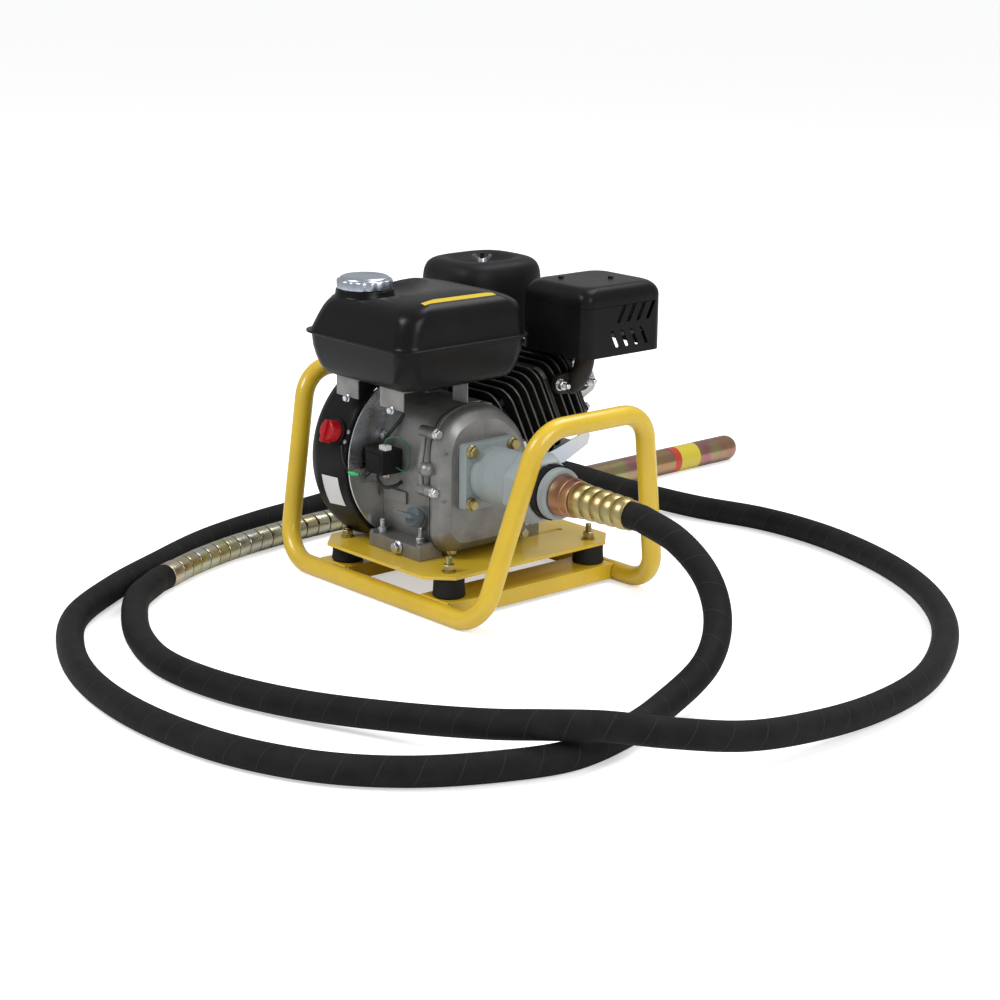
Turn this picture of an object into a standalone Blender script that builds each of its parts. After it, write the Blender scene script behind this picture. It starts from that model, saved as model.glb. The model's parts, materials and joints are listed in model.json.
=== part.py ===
"""Petrol concrete vibrator: engine on a rubber-mounted frame, drive coupling, hose and vibrating poker.

Bench axes: X along the crankshaft towards the coupling, Y towards the cylinder head, Z up, ground at Z = 0.
Everything is modelled around the middle of the base plate and moved by ORIGIN_SHIFT at the end, so that the
part's own origin lies on the ground under the middle of the engine unit.
"""
from math import cos, pi, radians, sin

import bmesh
import bpy
from mathutils import Matrix, Vector

# ---------------------------------------------------------------- driving dimensions (metres)
GAP = 0.0003                      # clearance between pieces that touch
ORIGIN_SHIFT = Vector((0.0, -0.01475, 0.0))

TUBE_R = 0.012                    # carrying frame tube
RAIL_HALF_X, RAIL_Y = 0.188, 0.141
HOOP_X, HOOP_Y, HOOP_Z = 0.222, 0.083, 0.2437
RAIL_BEND, HOOP_BEND = 0.050, 0.046

CHANNEL_TOP, CHANNEL_W, CHANNEL_T = 0.024, 0.054, 0.003
MOUNT_X, MOUNT_Y, MOUNT_R = 0.0986, 0.1139, 0.020
STUD_LEFT, STUD_RIGHT = 0.0105, 0.0185  # the fan cover passes just above the left pair
PLATE_X, PLATE_Y, PLATE_TOP, PLATE_T, PLATE_CHAMFER = 0.121, 0.150, 0.0535, 0.004, 0.028

CRANK_Y, CRANK_Z = -0.038, 0.1595  # crankshaft axis
PTO_X = 0.0735                     # face of the crankcase cover
COVER_X = 0.046                    # joint between crankcase and its cover
CASE_BACK = -0.052                 # crankcase wall behind the flywheel
CYL_TILT = radians(25)             # cylinder leans up from horizontal
CYL_AXIS = (0.0, cos(CYL_TILT), sin(CYL_TILT))

FLANGE_HALF, FLANGE_T, BOLT_HALF = 0.0407, 0.0135, 0.0325
BELL_R = 0.035

HOSE_R = 0.0158
POKER_R, POKER_LEN = 0.019, 0.385
ARMOUR_R = 0.0155
FERRULE_LEN = 0.022

TANK_SEAM_Z = 0.3220
TANK_MIN, TANK_MAX = (-0.115, -0.1755), (0.091, 0.029)

STEEL = (0.62, 0.63, 0.65)
YELLOW = (0.80, 0.58, 0.03)
BLACK = (0.012, 0.012, 0.014)
CAST = (0.36, 0.36, 0.37)
ZINC = (0.72, 0.74, 0.76)
GOLD_ZINC = (0.62, 0.52, 0.22)


# ---------------------------------------------------------------- materials
def material(name, colour, metallic, roughness):
    mat = bpy.data.materials.get(name)
    if mat is None:
        mat = bpy.data.materials.new(name)
        mat.use_nodes = True
        shader = mat.node_tree.nodes["Principled BSDF"]
        shader.inputs["Base Color"].default_value = (*colour, 1.0)
        shader.inputs["Metallic"].default_value = metallic
        shader.inputs["Roughness"].default_value = roughness
    return mat


def finish(name):
    finishes = {
        "yellow_paint": (YELLOW, 0.0, 0.30),
        "black_paint": (BLACK, 0.0, 0.35),
        "black_plastic": ((0.02, 0.02, 0.022), 0.0, 0.45),
        "rubber": ((0.015, 0.015, 0.015), 0.0, 0.75),
        "cast_aluminium": (CAST, 0.9, 0.50),
        "grey_paint": ((0.33, 0.37, 0.38), 0.1, 0.45),
        "steel": (STEEL, 1.0, 0.35),
        "zinc": (ZINC, 1.0, 0.28),
        "gold_zinc": (GOLD_ZINC, 1.0, 0.32),
        "copper_zinc": ((0.70, 0.36, 0.22), 1.0, 0.35),
        "chrome": ((0.85, 0.87, 0.90), 1.0, 0.08),
        "red_plastic": ((0.60, 0.01, 0.02), 0.0, 0.40),
        "cast_iron": ((0.10, 0.10, 0.10), 0.8, 0.60),
        "foam": ((0.10, 0.10, 0.09), 0.0, 0.95),
    }
    return material(name, *finishes[name])


# ---------------------------------------------------------------- shape helpers
def new_object(name, mesh, mat, origin=None):
    obj = bpy.data.objects.new(name, mesh)
    bpy.context.scene.collection.objects.link(obj)
    mesh.materials.append(finish(mat))
    if origin is not None:
        mesh.transform(Matrix.Translation(-Vector(origin)))
        obj.location = origin
    return obj


def mesh_of(name, bm, smooth=True):
    bmesh.ops.remove_doubles(bm, verts=bm.verts, dist=1e-6)
    bmesh.ops.recalc_face_normals(bm, faces=bm.faces)
    mesh = bpy.data.meshes.new(name)
    bm.to_mesh(mesh)
    bm.free()
    if smooth:
        mesh.shade_smooth()
        mesh.set_sharp_from_angle(angle=radians(35))
    return mesh


def skin(bm, rings, closed_ends=True, wrap=False):
    """Joins rings of vertices, each ring closed on itself, into one tube."""
    pairs = list(zip(rings, rings[1:] + rings[:1])) if wrap else list(zip(rings, rings[1:]))
    for low, high in pairs:
        count = len(low)
        for i in range(count):
            j = (i + 1) % count
            bm.faces.new((low[i], low[j], high[j], high[i]))
    if closed_ends and not wrap:
        bm.faces.new(rings[0][::-1])
        bm.faces.new(rings[-1])


def axis_frame(axis):
    """Two directions square to the axis, and the axis itself."""
    along = Vector(axis).normalized()
    side = Vector((0, 0, 1)) if abs(along.z) < 0.9 else Vector((0, 1, 0))
    first = side.cross(along).normalized()
    return first, along.cross(first), along


def turned(name, mat, base, axis, profile, sides=28, origin=None):
    """Body of revolution. Profile: (distance along the axis, radius); a hollow one is a closed outline."""
    first, second, along = axis_frame(axis)
    hollow = profile[0] == profile[-1]
    points = profile[:-1] if hollow else profile
    bm = bmesh.new()
    rings = []
    for t, r in points:
        centre = Vector(base) + along * t
        ring = []
        for i in range(sides):
            a = 2 * pi * i / sides
            ring.append(bm.verts.new(centre + first * (max(r, 1e-9) * cos(a)) + second * (max(r,
                    1e-9) * sin(a))))
        rings.append(ring)
    skin(bm, rings, closed_ends=not hollow, wrap=hollow)
    return new_object(name, mesh_of(name, bm), mat, origin)


def extruded(name, mat, outline, axis, low, high, origin=None):
    """Prism on a 2-D outline. axis "x" takes (y, z) points, "y" takes (x, z), "z" takes (x, y)."""
    place = {
        "x": lambda p, h: (h, p[0], p[1]),
        "y": lambda p, h: (p[0], h, p[1]),
        "z": lambda p, h: (p[0], p[1], h),
    }[axis]
    bm = bmesh.new()
    rings = [[bm.verts.new(place(p, h)) for p in outline] for h in (low, high)]
    skin(bm, rings)
    return new_object(name, mesh_of(name, bm), mat, origin)


def box(name, mat, low, high, origin=None):
    outline = [(low[0], low[1]), (high[0], low[1]), (high[0], high[1]), (low[0], high[1])]
    return extruded(name, mat, outline, "z", low[2], high[2], origin)


def lofted(name, mat, sections, origin=None):
    """Body through outlines given as lists of 3-D points, all with the same count."""
    bm = bmesh.new()
    rings = [[bm.verts.new(p) for p in section] for section in sections]
    skin(bm, rings)
    return new_object(name, mesh_of(name, bm), mat, origin)


def rounded_rectangle(x0, y0, x1, y1, r, steps=4):
    points = []
    corners = [(x1 - r, y0 + r, -90), (x1 - r, y1 - r, 0), (x0 + r, y1 - r, 90), (x0 + r, y0 + r, 180)]
    for cx, cy, start in corners:
        for i in range(steps + 1):
            a = radians(start + 90 * i / steps)
            points.append((cx + r * cos(a), cy + r * sin(a)))
    return points


def rounded_outline(corners, radius, steps=3):
    """Outline with every corner of a polygon rounded."""
    points = []
    count = len(corners)
    for i, corner in enumerate(corners):
        here = Vector(corner)
        before = (Vector(corners[i - 1]) - here)
        after = (Vector(corners[(i + 1) % count]) - here)
        reach = min(radius, 0.45 * before.length, 0.45 * after.length)
        start, end = here + before.normalized() * reach, here + after.normalized() * reach
        for k in range(steps + 1):
            t = k / steps
            p = start * (1 - t) ** 2 + here * (2 * t * (1 - t)) + end * t ** 2
            points.append((p.x, p.y))
    return points


def smooth_route(points, spacing):
    """Evenly spaced points on a Catmull-Rom curve through the given points."""
    pts = [Vector(p) for p in points]
    padded = [2 * pts[0] - pts[1]] + pts + [2 * pts[-1] - pts[-2]]
    dense = []
    for a, b, c, d in zip(padded, padded[1:], padded[2:], padded[3:]):
        knots = [0.0]
        for p, q in ((a, b), (b, c), (c, d)):
            knots.append(knots[-1] + max((q - p).length, 1e-6) ** 0.5)
        t0, t1, t2, t3 = knots
        for i in range(24):
            t = t1 + (t2 - t1) * i / 24
            a1 = a * ((t1 - t) / (t1 - t0)) + b * ((t - t0) / (t1 - t0))
            a2 = b * ((t2 - t) / (t2 - t1)) + c * ((t - t1) / (t2 - t1))
            a3 = c * ((t3 - t) / (t3 - t2)) + d * ((t - t2) / (t3 - t2))
            b1 = a1 * ((t2 - t) / (t2 - t0)) + a2 * ((t - t0) / (t2 - t0))
            b2 = a2 * ((t3 - t) / (t3 - t1)) + a3 * ((t - t1) / (t3 - t1))
            dense.append(b1 * ((t2 - t) / (t2 - t1)) + b2 * ((t - t1) / (t2 - t1)))
    dense.append(pts[-1])
    lengths = [0.0]
    for p, q in zip(dense, dense[1:]):
        lengths.append(lengths[-1] + (q - p).length)
    count = max(2, round(lengths[-1] / spacing))
    out, k = [], 0
    for i in range(count + 1):
        want = lengths[-1] * i / count
        while k < len(lengths) - 2 and lengths[k + 1] < want:
            k += 1
        share = (want - lengths[k]) / max(lengths[k + 1] - lengths[k], 1e-9)
        out.append(dense[k].lerp(dense[k + 1], share))
    return out


def tube_curve(name, mat, points, radius, resolution=2, cyclic=False):
    curve = bpy.data.curves.new(name, "CURVE")
    curve.dimensions = "3D"
    curve.bevel_depth = radius
    curve.bevel_resolution = resolution
    curve.use_fill_caps = True
    spline = curve.splines.new("POLY")
    spline.points.add(len(points) - 1)
    for point, place in zip(spline.points, points):
        point.co = (*place, 1.0)
    spline.use_cyclic_u = cyclic
    obj = bpy.data.objects.new(name, curve)
    bpy.context.scene.collection.objects.link(obj)
    curve.materials.append(finish(mat))
    return obj


def swept(name, mat, points, radius, sides=14, wrap=False):
    """Round bar along a path, its rings carried along without twist."""
    bm = bmesh.new()
    pts = [Vector(p) for p in points]
    count = len(pts)
    rings = []
    normal = None
    for i, here in enumerate(pts):
        after = pts[(i + 1) % count] if wrap or i < count - 1 else here
        before = pts[i - 1] if wrap or i > 0 else here
        along = (after - before).normalized()
        if normal is None:
            normal = axis_frame(along)[0]
        normal = (normal - along * normal.dot(along)).normalized()
        other = along.cross(normal)
        turns = [2 * pi * k / sides for k in range(sides)]
        rings.append([bm.verts.new(here + (normal * cos(turn) + other * sin(turn)) * radius)
                      for turn in turns])
    skin(bm, rings, wrap=wrap)
    return new_object(name, mesh_of(name, bm), mat)


def arc_corner(before, corner, after, radius, steps):
    """Points of the arc that rounds one corner of a bent tube."""
    corner = Vector(corner)
    u, v = (Vector(before) - corner).normalized(), (Vector(after) - corner).normalized()
    half = u.angle(v) / 2
    centre = corner + (u + v).normalized() * (radius / sin(half))
    start = corner + u * (radius / (sin(half) / cos(half)))
    end = corner + v * (radius / (sin(half) / cos(half)))
    a, b = start - centre, end - centre
    turn = a.angle(b)
    return [centre + (a * sin(turn * (1 - i / steps)) + b * sin(turn * i / steps)) / sin(turn)
            for i in range(steps + 1)]


def join_into(obj, others, operation="UNION"):
    """Adds or cuts other solids, then leaves only the result."""
    for other in others:
        mod = obj.modifiers.new(operation.title(), "BOOLEAN")
        mod.operation = operation
        mod.solver = "EXACT"
        mod.object = other
    bpy.context.view_layer.update()
    graph = bpy.context.evaluated_depsgraph_get()
    mesh = bpy.data.meshes.new_from_object(obj.evaluated_get(graph))
    obj.modifiers.clear()
    obj.data = mesh
    bm = bmesh.new()
    bm.from_mesh(mesh)
    bmesh.ops.remove_doubles(bm, verts=bm.verts, dist=1e-6)
    bmesh.ops.dissolve_limit(bm, angle_limit=radians(0.05), verts=bm.verts, edges=bm.edges)
    bm.to_mesh(mesh)
    bm.free()
    mesh.set_sharp_from_angle(angle=radians(35))
    for other in others:
        bpy.data.objects.remove(other)
    return obj


def cut(obj, *others):
    return join_into(obj, list(others), "DIFFERENCE")


def add(obj, *others):
    return join_into(obj, list(others), "UNION")


def hexagon(name, mat, base, axis, across_flats, height):
    return turned(name, mat, base, axis, [(0, across_flats / 2 / cos(pi / 6)),
                                          (height, across_flats / 2 / cos(pi / 6))], 6)


def crank(x, y=0.0, z=0.0):
    """A place measured from the crankshaft axis."""
    return (x, CRANK_Y + y, CRANK_Z + z)


def turn_about_crank(angle):
    centre = Vector(crank(0))
    return Matrix.Translation(centre) @ Matrix.Rotation(angle, 4, "X") @ Matrix.Translation(-centre)


def cyl(out, side=0.0, x=0.0):
    """A place measured along the leaning cylinder axis from the crankshaft, and square to it."""
    return (x, CRANK_Y + out * cos(CYL_TILT) - side * sin(CYL_TILT),
            CRANK_Z + out * sin(CYL_TILT) + side * cos(CYL_TILT))


# ---------------------------------------------------------------- carrying frame
def make_frame():
    corners = [(RAIL_HALF_X, -RAIL_Y, TUBE_R), (HOOP_X, -HOOP_Y, HOOP_Z), (HOOP_X, HOOP_Y, HOOP_Z),
               (RAIL_HALF_X, RAIL_Y, TUBE_R)]
    corners += [(-x, y, z) for x, y, z in reversed(corners)]
    bends = [RAIL_BEND, HOOP_BEND, HOOP_BEND, RAIL_BEND] * 2
    path = []
    for i, corner in enumerate(corners):
        path += arc_corner(corners[i - 1], corner, corners[(i + 1) % 8], bends[i], 4)
    swept("frame_tube", "yellow_paint", path, TUBE_R, sides=12, wrap=True)

    for name, x in (("cross_channel_left", -MOUNT_X), ("cross_channel_right", MOUNT_X)):
        half = CHANNEL_W / 2
        floor, top = 0.0045, CHANNEL_TOP
        t = CHANNEL_T
        outline = [(x - half, floor), (x - half + t, floor), (x - half + t, top - t),
                   (x + half - t, top - t),
                   (x + half - t, floor), (x + half, floor), (x + half, top), (x - half, top)]
        channel = extruded(name, "yellow_paint", outline, "y", -RAIL_Y, RAIL_Y)
        rails = [turned("rail_cut", "steel", (x - 0.05, y, TUBE_R), (1, 0, 0),
                        [(0, TUBE_R + 4 * GAP), (0.1, TUBE_R + 4 * GAP)], 20) for y in (-RAIL_Y, RAIL_Y)]
        cut(channel, *rails)


def make_mounts():
    low, high = CHANNEL_TOP + GAP, PLATE_TOP - PLATE_T - GAP
    for end, sx in (("left", -1), ("right", 1)):
        for side, sy in (("front", -1), ("back", 1)):
            place = (sx * MOUNT_X, sy * MOUNT_Y, low)
            height = high - low
            turned(f"rubber_mount_{side}_{end}", "rubber", place, (0, 0, 1),
                   [(0, MOUNT_R), (height, MOUNT_R * 0.965)], 20)
            seat = Vector((place[0], place[1], PLATE_TOP + GAP))
            nut = turned(f"mount_nut_{side}_{end}", "gold_zinc", seat, (0, 0, 1),
                         [(0, 0.0085), (0.0016, 0.0085)], 12)
            stud = STUD_LEFT if sx < 0 else STUD_RIGHT
            add(nut, hexagon("hex", "zinc", seat + Vector((0, 0, 0.001)), (0, 0, 1), 0.013, 0.0075),
                turned("stud", "zinc", seat + Vector((0, 0, 0.001)), (0, 0, 1), [(0, 0.004), (stud, 0.004)],
                       8))


def make_base_plate():
    c = PLATE_CHAMFER
    outline = [(-PLATE_X + c, -PLATE_Y), (PLATE_X - c, -PLATE_Y), (PLATE_X, -PLATE_Y + c),
               (PLATE_X, PLATE_Y - c),
               (PLATE_X - c, PLATE_Y), (-PLATE_X + c, PLATE_Y), (-PLATE_X, PLATE_Y - c),
               (-PLATE_X, -PLATE_Y + c)]
    plate = extruded("base_plate", "yellow_paint", outline, "z", PLATE_TOP - PLATE_T, PLATE_TOP)
    slots = []
    for x in (-0.0461, 0.0435):
        shape = rounded_rectangle(x - 0.004, 0.078, x + 0.004, 0.119, 0.0039, 3)
        slots.append(extruded("slot", "steel", shape, "z", PLATE_TOP - 2 * PLATE_T, PLATE_TOP + PLATE_T))
    cut(plate, *slots)


# ---------------------------------------------------------------- engine block
def make_crankcase():
    low = PLATE_TOP + GAP
    joint = 0.066                                        # crank axis to the cylinder joint
    top_corner, low_corner = cyl(joint, 0.055)[1:], cyl(joint, -0.055)[1:]
    outline = [(-0.088, low + 0.010), (-0.094, 0.085), (-0.094, 0.196), (-0.084, 0.226), (-0.062, 0.238),
               top_corner, low_corner, (0.052, 0.085), (0.050, low + 0.010)]
    case = extruded("crankcase", "cast_aluminium", rounded_outline(outline, 0.012, 2), "x", CASE_BACK,
                    COVER_X - GAP)
    foot_near = box("foot", "steel", (CASE_BACK, -0.116, low), (COVER_X - GAP, -0.080, low + 0.017))
    foot_far = box("foot", "steel", (CASE_BACK, 0.040, low), (COVER_X - GAP, 0.078, low + 0.015))
    add(case, foot_near, foot_far)
    bore = turned("bore", "steel", crank(CASE_BACK + 0.012), (1, 0, 0),
                  [(0, 0.050), (COVER_X - CASE_BACK, 0.050)], 24)
    journal = turned("bore", "steel", crank(CASE_BACK - 0.02), (1, 0, 0), [(0, 0.0155), (0.06, 0.0155)], 20)
    cylinder_way = turned("bore", "steel", cyl(0.0), CYL_AXIS, [(0, 0.0345), (0.12, 0.0345)], 24)
    cut(case, bore, journal, cylinder_way)


def make_crankcase_cover():
    low = PLATE_TOP + GAP
    outline = [(-0.082, low + 0.006), (-0.100, 0.078), (-0.100, 0.196), (-0.088, 0.228), (-0.052, 0.241),
               (-0.006, 0.236), (0.030, 0.205), (0.046, 0.160), (0.046, 0.085), (0.040, low + 0.006)]
    skirt = rounded_outline(outline, 0.014, 2)
    centre = Vector((CRANK_Y + 0.006, CRANK_Z - 0.012))

    def ring(x, scale):
        return [(x, centre.x + (p[0] - centre.x) * scale, centre.y + (p[1] - centre.y) * scale)
                for p in skirt]

    cover = lofted("crankcase_cover", "cast_aluminium",
                   [ring(COVER_X, 1.0), ring(COVER_X + 0.013, 0.985), ring(COVER_X + 0.021, 0.93),
                    ring(PTO_X - 0.0015, 0.84)])
    pad = extruded("pad", "steel", rounded_outline([(CRANK_Y - 0.041, CRANK_Z - 0.041),
                                                    (CRANK_Y + 0.041, CRANK_Z - 0.041),
                                                    (CRANK_Y + 0.041, CRANK_Z + 0.041),
                                                    (CRANK_Y - 0.041, CRANK_Z + 0.041)], 0.01, 2),
                   "x", COVER_X + 0.01, PTO_X)
    add(cover, pad)
    inside = turned("bore", "steel", crank(COVER_X - 0.01), (1, 0, 0), [(0, 0.045), (0.024, 0.045)], 24)
    journal = turned("bore", "steel", crank(COVER_X - 0.01), (1, 0, 0), [(0, 0.0165), (0.06, 0.0165)], 20)
    cut(cover, inside, journal)


def cylinder_slab(name, mat, start, end, half_x, half_side, corner, left_x=None):
    """Rounded rectangular slab square to the cylinder axis."""
    shape = rounded_rectangle(left_x or -half_x, -half_side, half_x, half_side, corner, 2)
    return lofted(name, mat, [[cyl(t, side, x) for x, side in shape] for t in (start, end)])


def make_cylinder():
    bore = 0.034
    start, end = 0.066 + GAP, 0.140
    sleeve = turned("cylinder_block", "cast_aluminium", cyl(start), CYL_AXIS,
                    [(0, 0.046), (end - start, 0.046)], 20)
    pitch = 0.0122
    fins = [cylinder_slab("fin", "steel", start + 0.006 + i * pitch, start + 0.009 + i * pitch, 0.057,
                          0.059, 0.020, -0.0515)
            for i in range(6)]
    add(sleeve, *fins)
    cover_room = lofted("room", "steel", [[cyl(t, side, x) for x,
                                           side in rounded_rectangle(COVER_X - 0.0005, -0.08, 0.09, 0.08,
                                                   0.001, 1)]
                                          for t in (0.05, 0.0840)])
    cut(sleeve, turned("bore", "steel", cyl(start - 0.01), CYL_AXIS, [(0, bore), (0.1, bore)], 20),
        cover_room)

    head_start, head_end = end + GAP, 0.190
    head = cylinder_slab("cylinder_head", "cast_aluminium", head_start, head_start + 0.006, 0.056, 0.054,
                         0.014)
    core = cylinder_slab("core", "steel", head_start + 0.004, head_end - 0.001, 0.044, 0.046, 0.012)
    end_plate = cylinder_slab("plate", "steel", head_end - 0.006, head_end, 0.055, 0.050, 0.016)
    fins = [cylinder_slab("fin", "steel", head_start + 0.0155 + i * 0.0112,
                          head_start + 0.0185 + i * 0.0112, 0.057, 0.054, 0.018)
            for i in range(3)]
    add(head, core, end_plate, *fins)

    cover_start = head_end + GAP
    shape = rounded_rectangle(-0.034, -0.037, 0.044, 0.037, 0.018, 3)
    lofted("rocker_cover", "cast_aluminium",
           [[cyl(cover_start + t, side * k, x * k) for x, side in shape]
            for t, k in ((0.0, 1.0), (0.030, 1.0), (0.038, 0.93), (0.043, 0.78))])

    turned("spark_plug", "black_plastic", cyl(head_end + GAP, 0.010, -0.0455), CYL_AXIS,
           [(0, 0.0065), (0.010, 0.0065), (0.010, 0.0085), (0.034, 0.0085), (0.040, 0.005)], 12)


def make_lower_shroud():
    """Pressed plate that guides the cooling air round the underside of the cylinder."""
    side_plate = [(0.090, -0.044), (0.119, -0.050), (0.174, -0.058), (0.178, -0.066), (0.169, -0.075),
                  (0.126, -0.074), (0.096, -0.062)]
    plate = extruded("lower_air_shroud", "zinc", [cyl(*p)[1:] for p in side_plate], "x", 0.0578, 0.0593)
    floor = [(0.100, -0.0635), (0.126, -0.0725), (0.166, -0.0735), (0.166, -0.0720), (0.126, -0.0710),
             (0.100, -0.0620)]
    add(plate, extruded("floor", "steel", [cyl(*p)[1:] for p in floor], "x", -0.050, 0.0585))


# ---------------------------------------------------------------- crank train
def make_crank_train():
    profile = [(-0.148, 0.0), (-0.148, 0.010), (-0.060, 0.010), (-0.060, 0.0135), (-0.020, 0.0135),
               (-0.020, 0.040),
               (-0.010, 0.040), (-0.010, 0.017), (0.012, 0.017), (0.012, 0.040), (0.022, 0.040),
               (0.022, 0.0145),
               (0.078, 0.0145), (0.078, 0.0095), (0.110, 0.0095), (0.110, 0.0)]
    turned("crankshaft", "steel", crank(0), (1, 0, 0), profile, 20, origin=crank(0))

    disc = [(-0.146, 0.0105), (-0.146, 0.050), (-0.143, 0.052), (-0.126, 0.052), (-0.126, 0.046),
            (-0.139, 0.044),
            (-0.139, 0.020), (-0.096, 0.020), (-0.096, 0.084), (-0.070, 0.086), (-0.070, 0.070),
            (-0.088, 0.068), (-0.088, 0.026), (-0.066, 0.024), (-0.066, 0.0105), (-0.146, 0.0105)]
    wheel = turned("flywheel", "cast_aluminium", crank(0), (1, 0, 0), disc, 20)
    blades = []
    for i in range(8):
        turn = turn_about_crank(2 * pi * i / 8)
        blade = box("blade", "steel", crank(-0.114, -0.0012, 0.046), crank(-0.0955, 0.0012, 0.086))
        blade.data.transform(turn)
        blades.append(blade)
    add(wheel, *blades)
    move_origin(wheel, crank(0))


def move_origin(obj, place):
    obj.data.transform(Matrix.Translation(-Vector(place)))
    obj.location = place


# ---------------------------------------------------------------- blower side
FAN_LOW, FAN_HIGH = PLATE_TOP + 0.004, 0.2685   # flats of the fan cover under the tank and over the plate


def fan_ring(x, radius, inset, count=32):
    """Circle about the crank axis, held between the two flats."""
    low, high = FAN_LOW + inset, FAN_HIGH - inset
    angles = [2 * pi * (i + 0.5) / count for i in range(count)]
    return [(x, CRANK_Y + radius * cos(a), min(max(CRANK_Z + radius * sin(a), low), high)) for a in angles]


def make_fan_cover():
    """Pressed cover around the flywheel, flat below and under the tank, and the recoil starter's own cover."""
    t = 0.0022
    outer = [(-0.054, 0.113, 0), (-0.062, 0.116, 0), (-0.104, 0.120, 0), (-0.118, 0.116, 0),
             (-0.124, 0.104, 0.012), (-0.124, 0.076, 0.036)]
    inner = [(-0.124 + t, 0.076, 0.036), (-0.124 + t, 0.1025, 0.013), (-0.1165, 0.1138, t),
             (-0.104, 0.1178, t), (-0.062, 0.1138, t), (-0.054, 0.1108, t)]
    bm = bmesh.new()
    rings = [[bm.verts.new(p) for p in fan_ring(*ring)] for ring in outer + inner]
    skin(bm, rings, wrap=True)
    new_object("fan_cover", mesh_of("fan_cover", bm), "black_paint")

    bowl_out = [(-0.1243, 0.088), (-0.128, 0.088), (-0.150, 0.080), (-0.166, 0.070), (-0.176, 0.052),
                (-0.178, 0.030), (-0.178, 0.0)]
    bowl_in = [(-0.1760, 0.0), (-0.1760, 0.030), (-0.1742, 0.050), (-0.1645, 0.0682), (-0.1490, 0.0782),
               (-0.1265, 0.0855), (-0.1243, 0.0855)]
    bowl = turned("recoil_cover", "black_paint", crank(0), (1, 0, 0), bowl_out + bowl_in + bowl_out[:1], 24)
    slots = []
    for i in range(7):
        turn = turn_about_crank(2 * pi * i / 7)
        slot = box("slot", "steel", crank(-0.19, -0.009, 0.055), crank(-0.154, 0.009, 0.064))
        slot.data.transform(turn)
        slots.append(slot)
    cut(bowl, *slots)

    grip_at = Vector(crank(-0.146, 0.086 + 0.004, 0.030))
    turned("recoil_handle", "black_plastic", grip_at, (0, 1, 0),
           [(0, 0.005), (0.006, 0.008), (0.010, 0.0095), (0.022, 0.0095), (0.026, 0.007)], 16,
           origin=grip_at)


def make_shroud_plate():
    """Zinc plate between crankcase and fan cover."""
    outline = [p[1:] for p in fan_ring(0.0, 0.1098, 0.0026)]
    plate = extruded("shroud_plate", "zinc", outline, "x", CASE_BACK - 0.0030, CASE_BACK - GAP)
    hole = turned("bore", "steel", crank(CASE_BACK - 0.01), (1, 0, 0), [(0, 0.024), (0.02, 0.024)], 20)
    cut(plate, hole)


def make_switch():
    tilt = radians(19)
    axis = Vector((0, -cos(tilt), sin(tilt)))
    seat = Vector(crank(-0.076)) + axis * 0.1190
    knob = turned("ignition_knob", "red_plastic", seat, axis,
                  [(0, 0.0135), (0.013, 0.0125), (0.0145, 0.011)], 18)
    first, second, along = axis_frame(axis)
    bar = [(-0.016, -0.003), (0.012, -0.003), (0.012, 0.003), (-0.016, 0.003)]
    grip = lofted("grip", "steel", [[seat + second * a + first * b + along * h for a, b in bar]
                                    for h in (0.004, 0.0185)])
    add(knob, grip)
    move_origin(knob, seat)


# ---------------------------------------------------------------- fuel tank
CAP_XY = (-0.057, -0.118)
CAP_SEAT = 0.0525                  # above the seam
TANK_CROWN = 0.012                 # rise of the tank's top in the middle


def tank_ring(z, inset, corner, crown=0.0):
    (x0, y0), (x1, y1) = TANK_MIN, TANK_MAX
    middle, half = (y0 + y1) / 2, (y1 - y0) / 2
    return [(x, y, z + crown * (1 - ((y - middle) / half) ** 2))
            for x, y in rounded_rectangle(x0 + inset, y0 + inset, x1 - inset, y1 - inset, corner, 4)]


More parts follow.
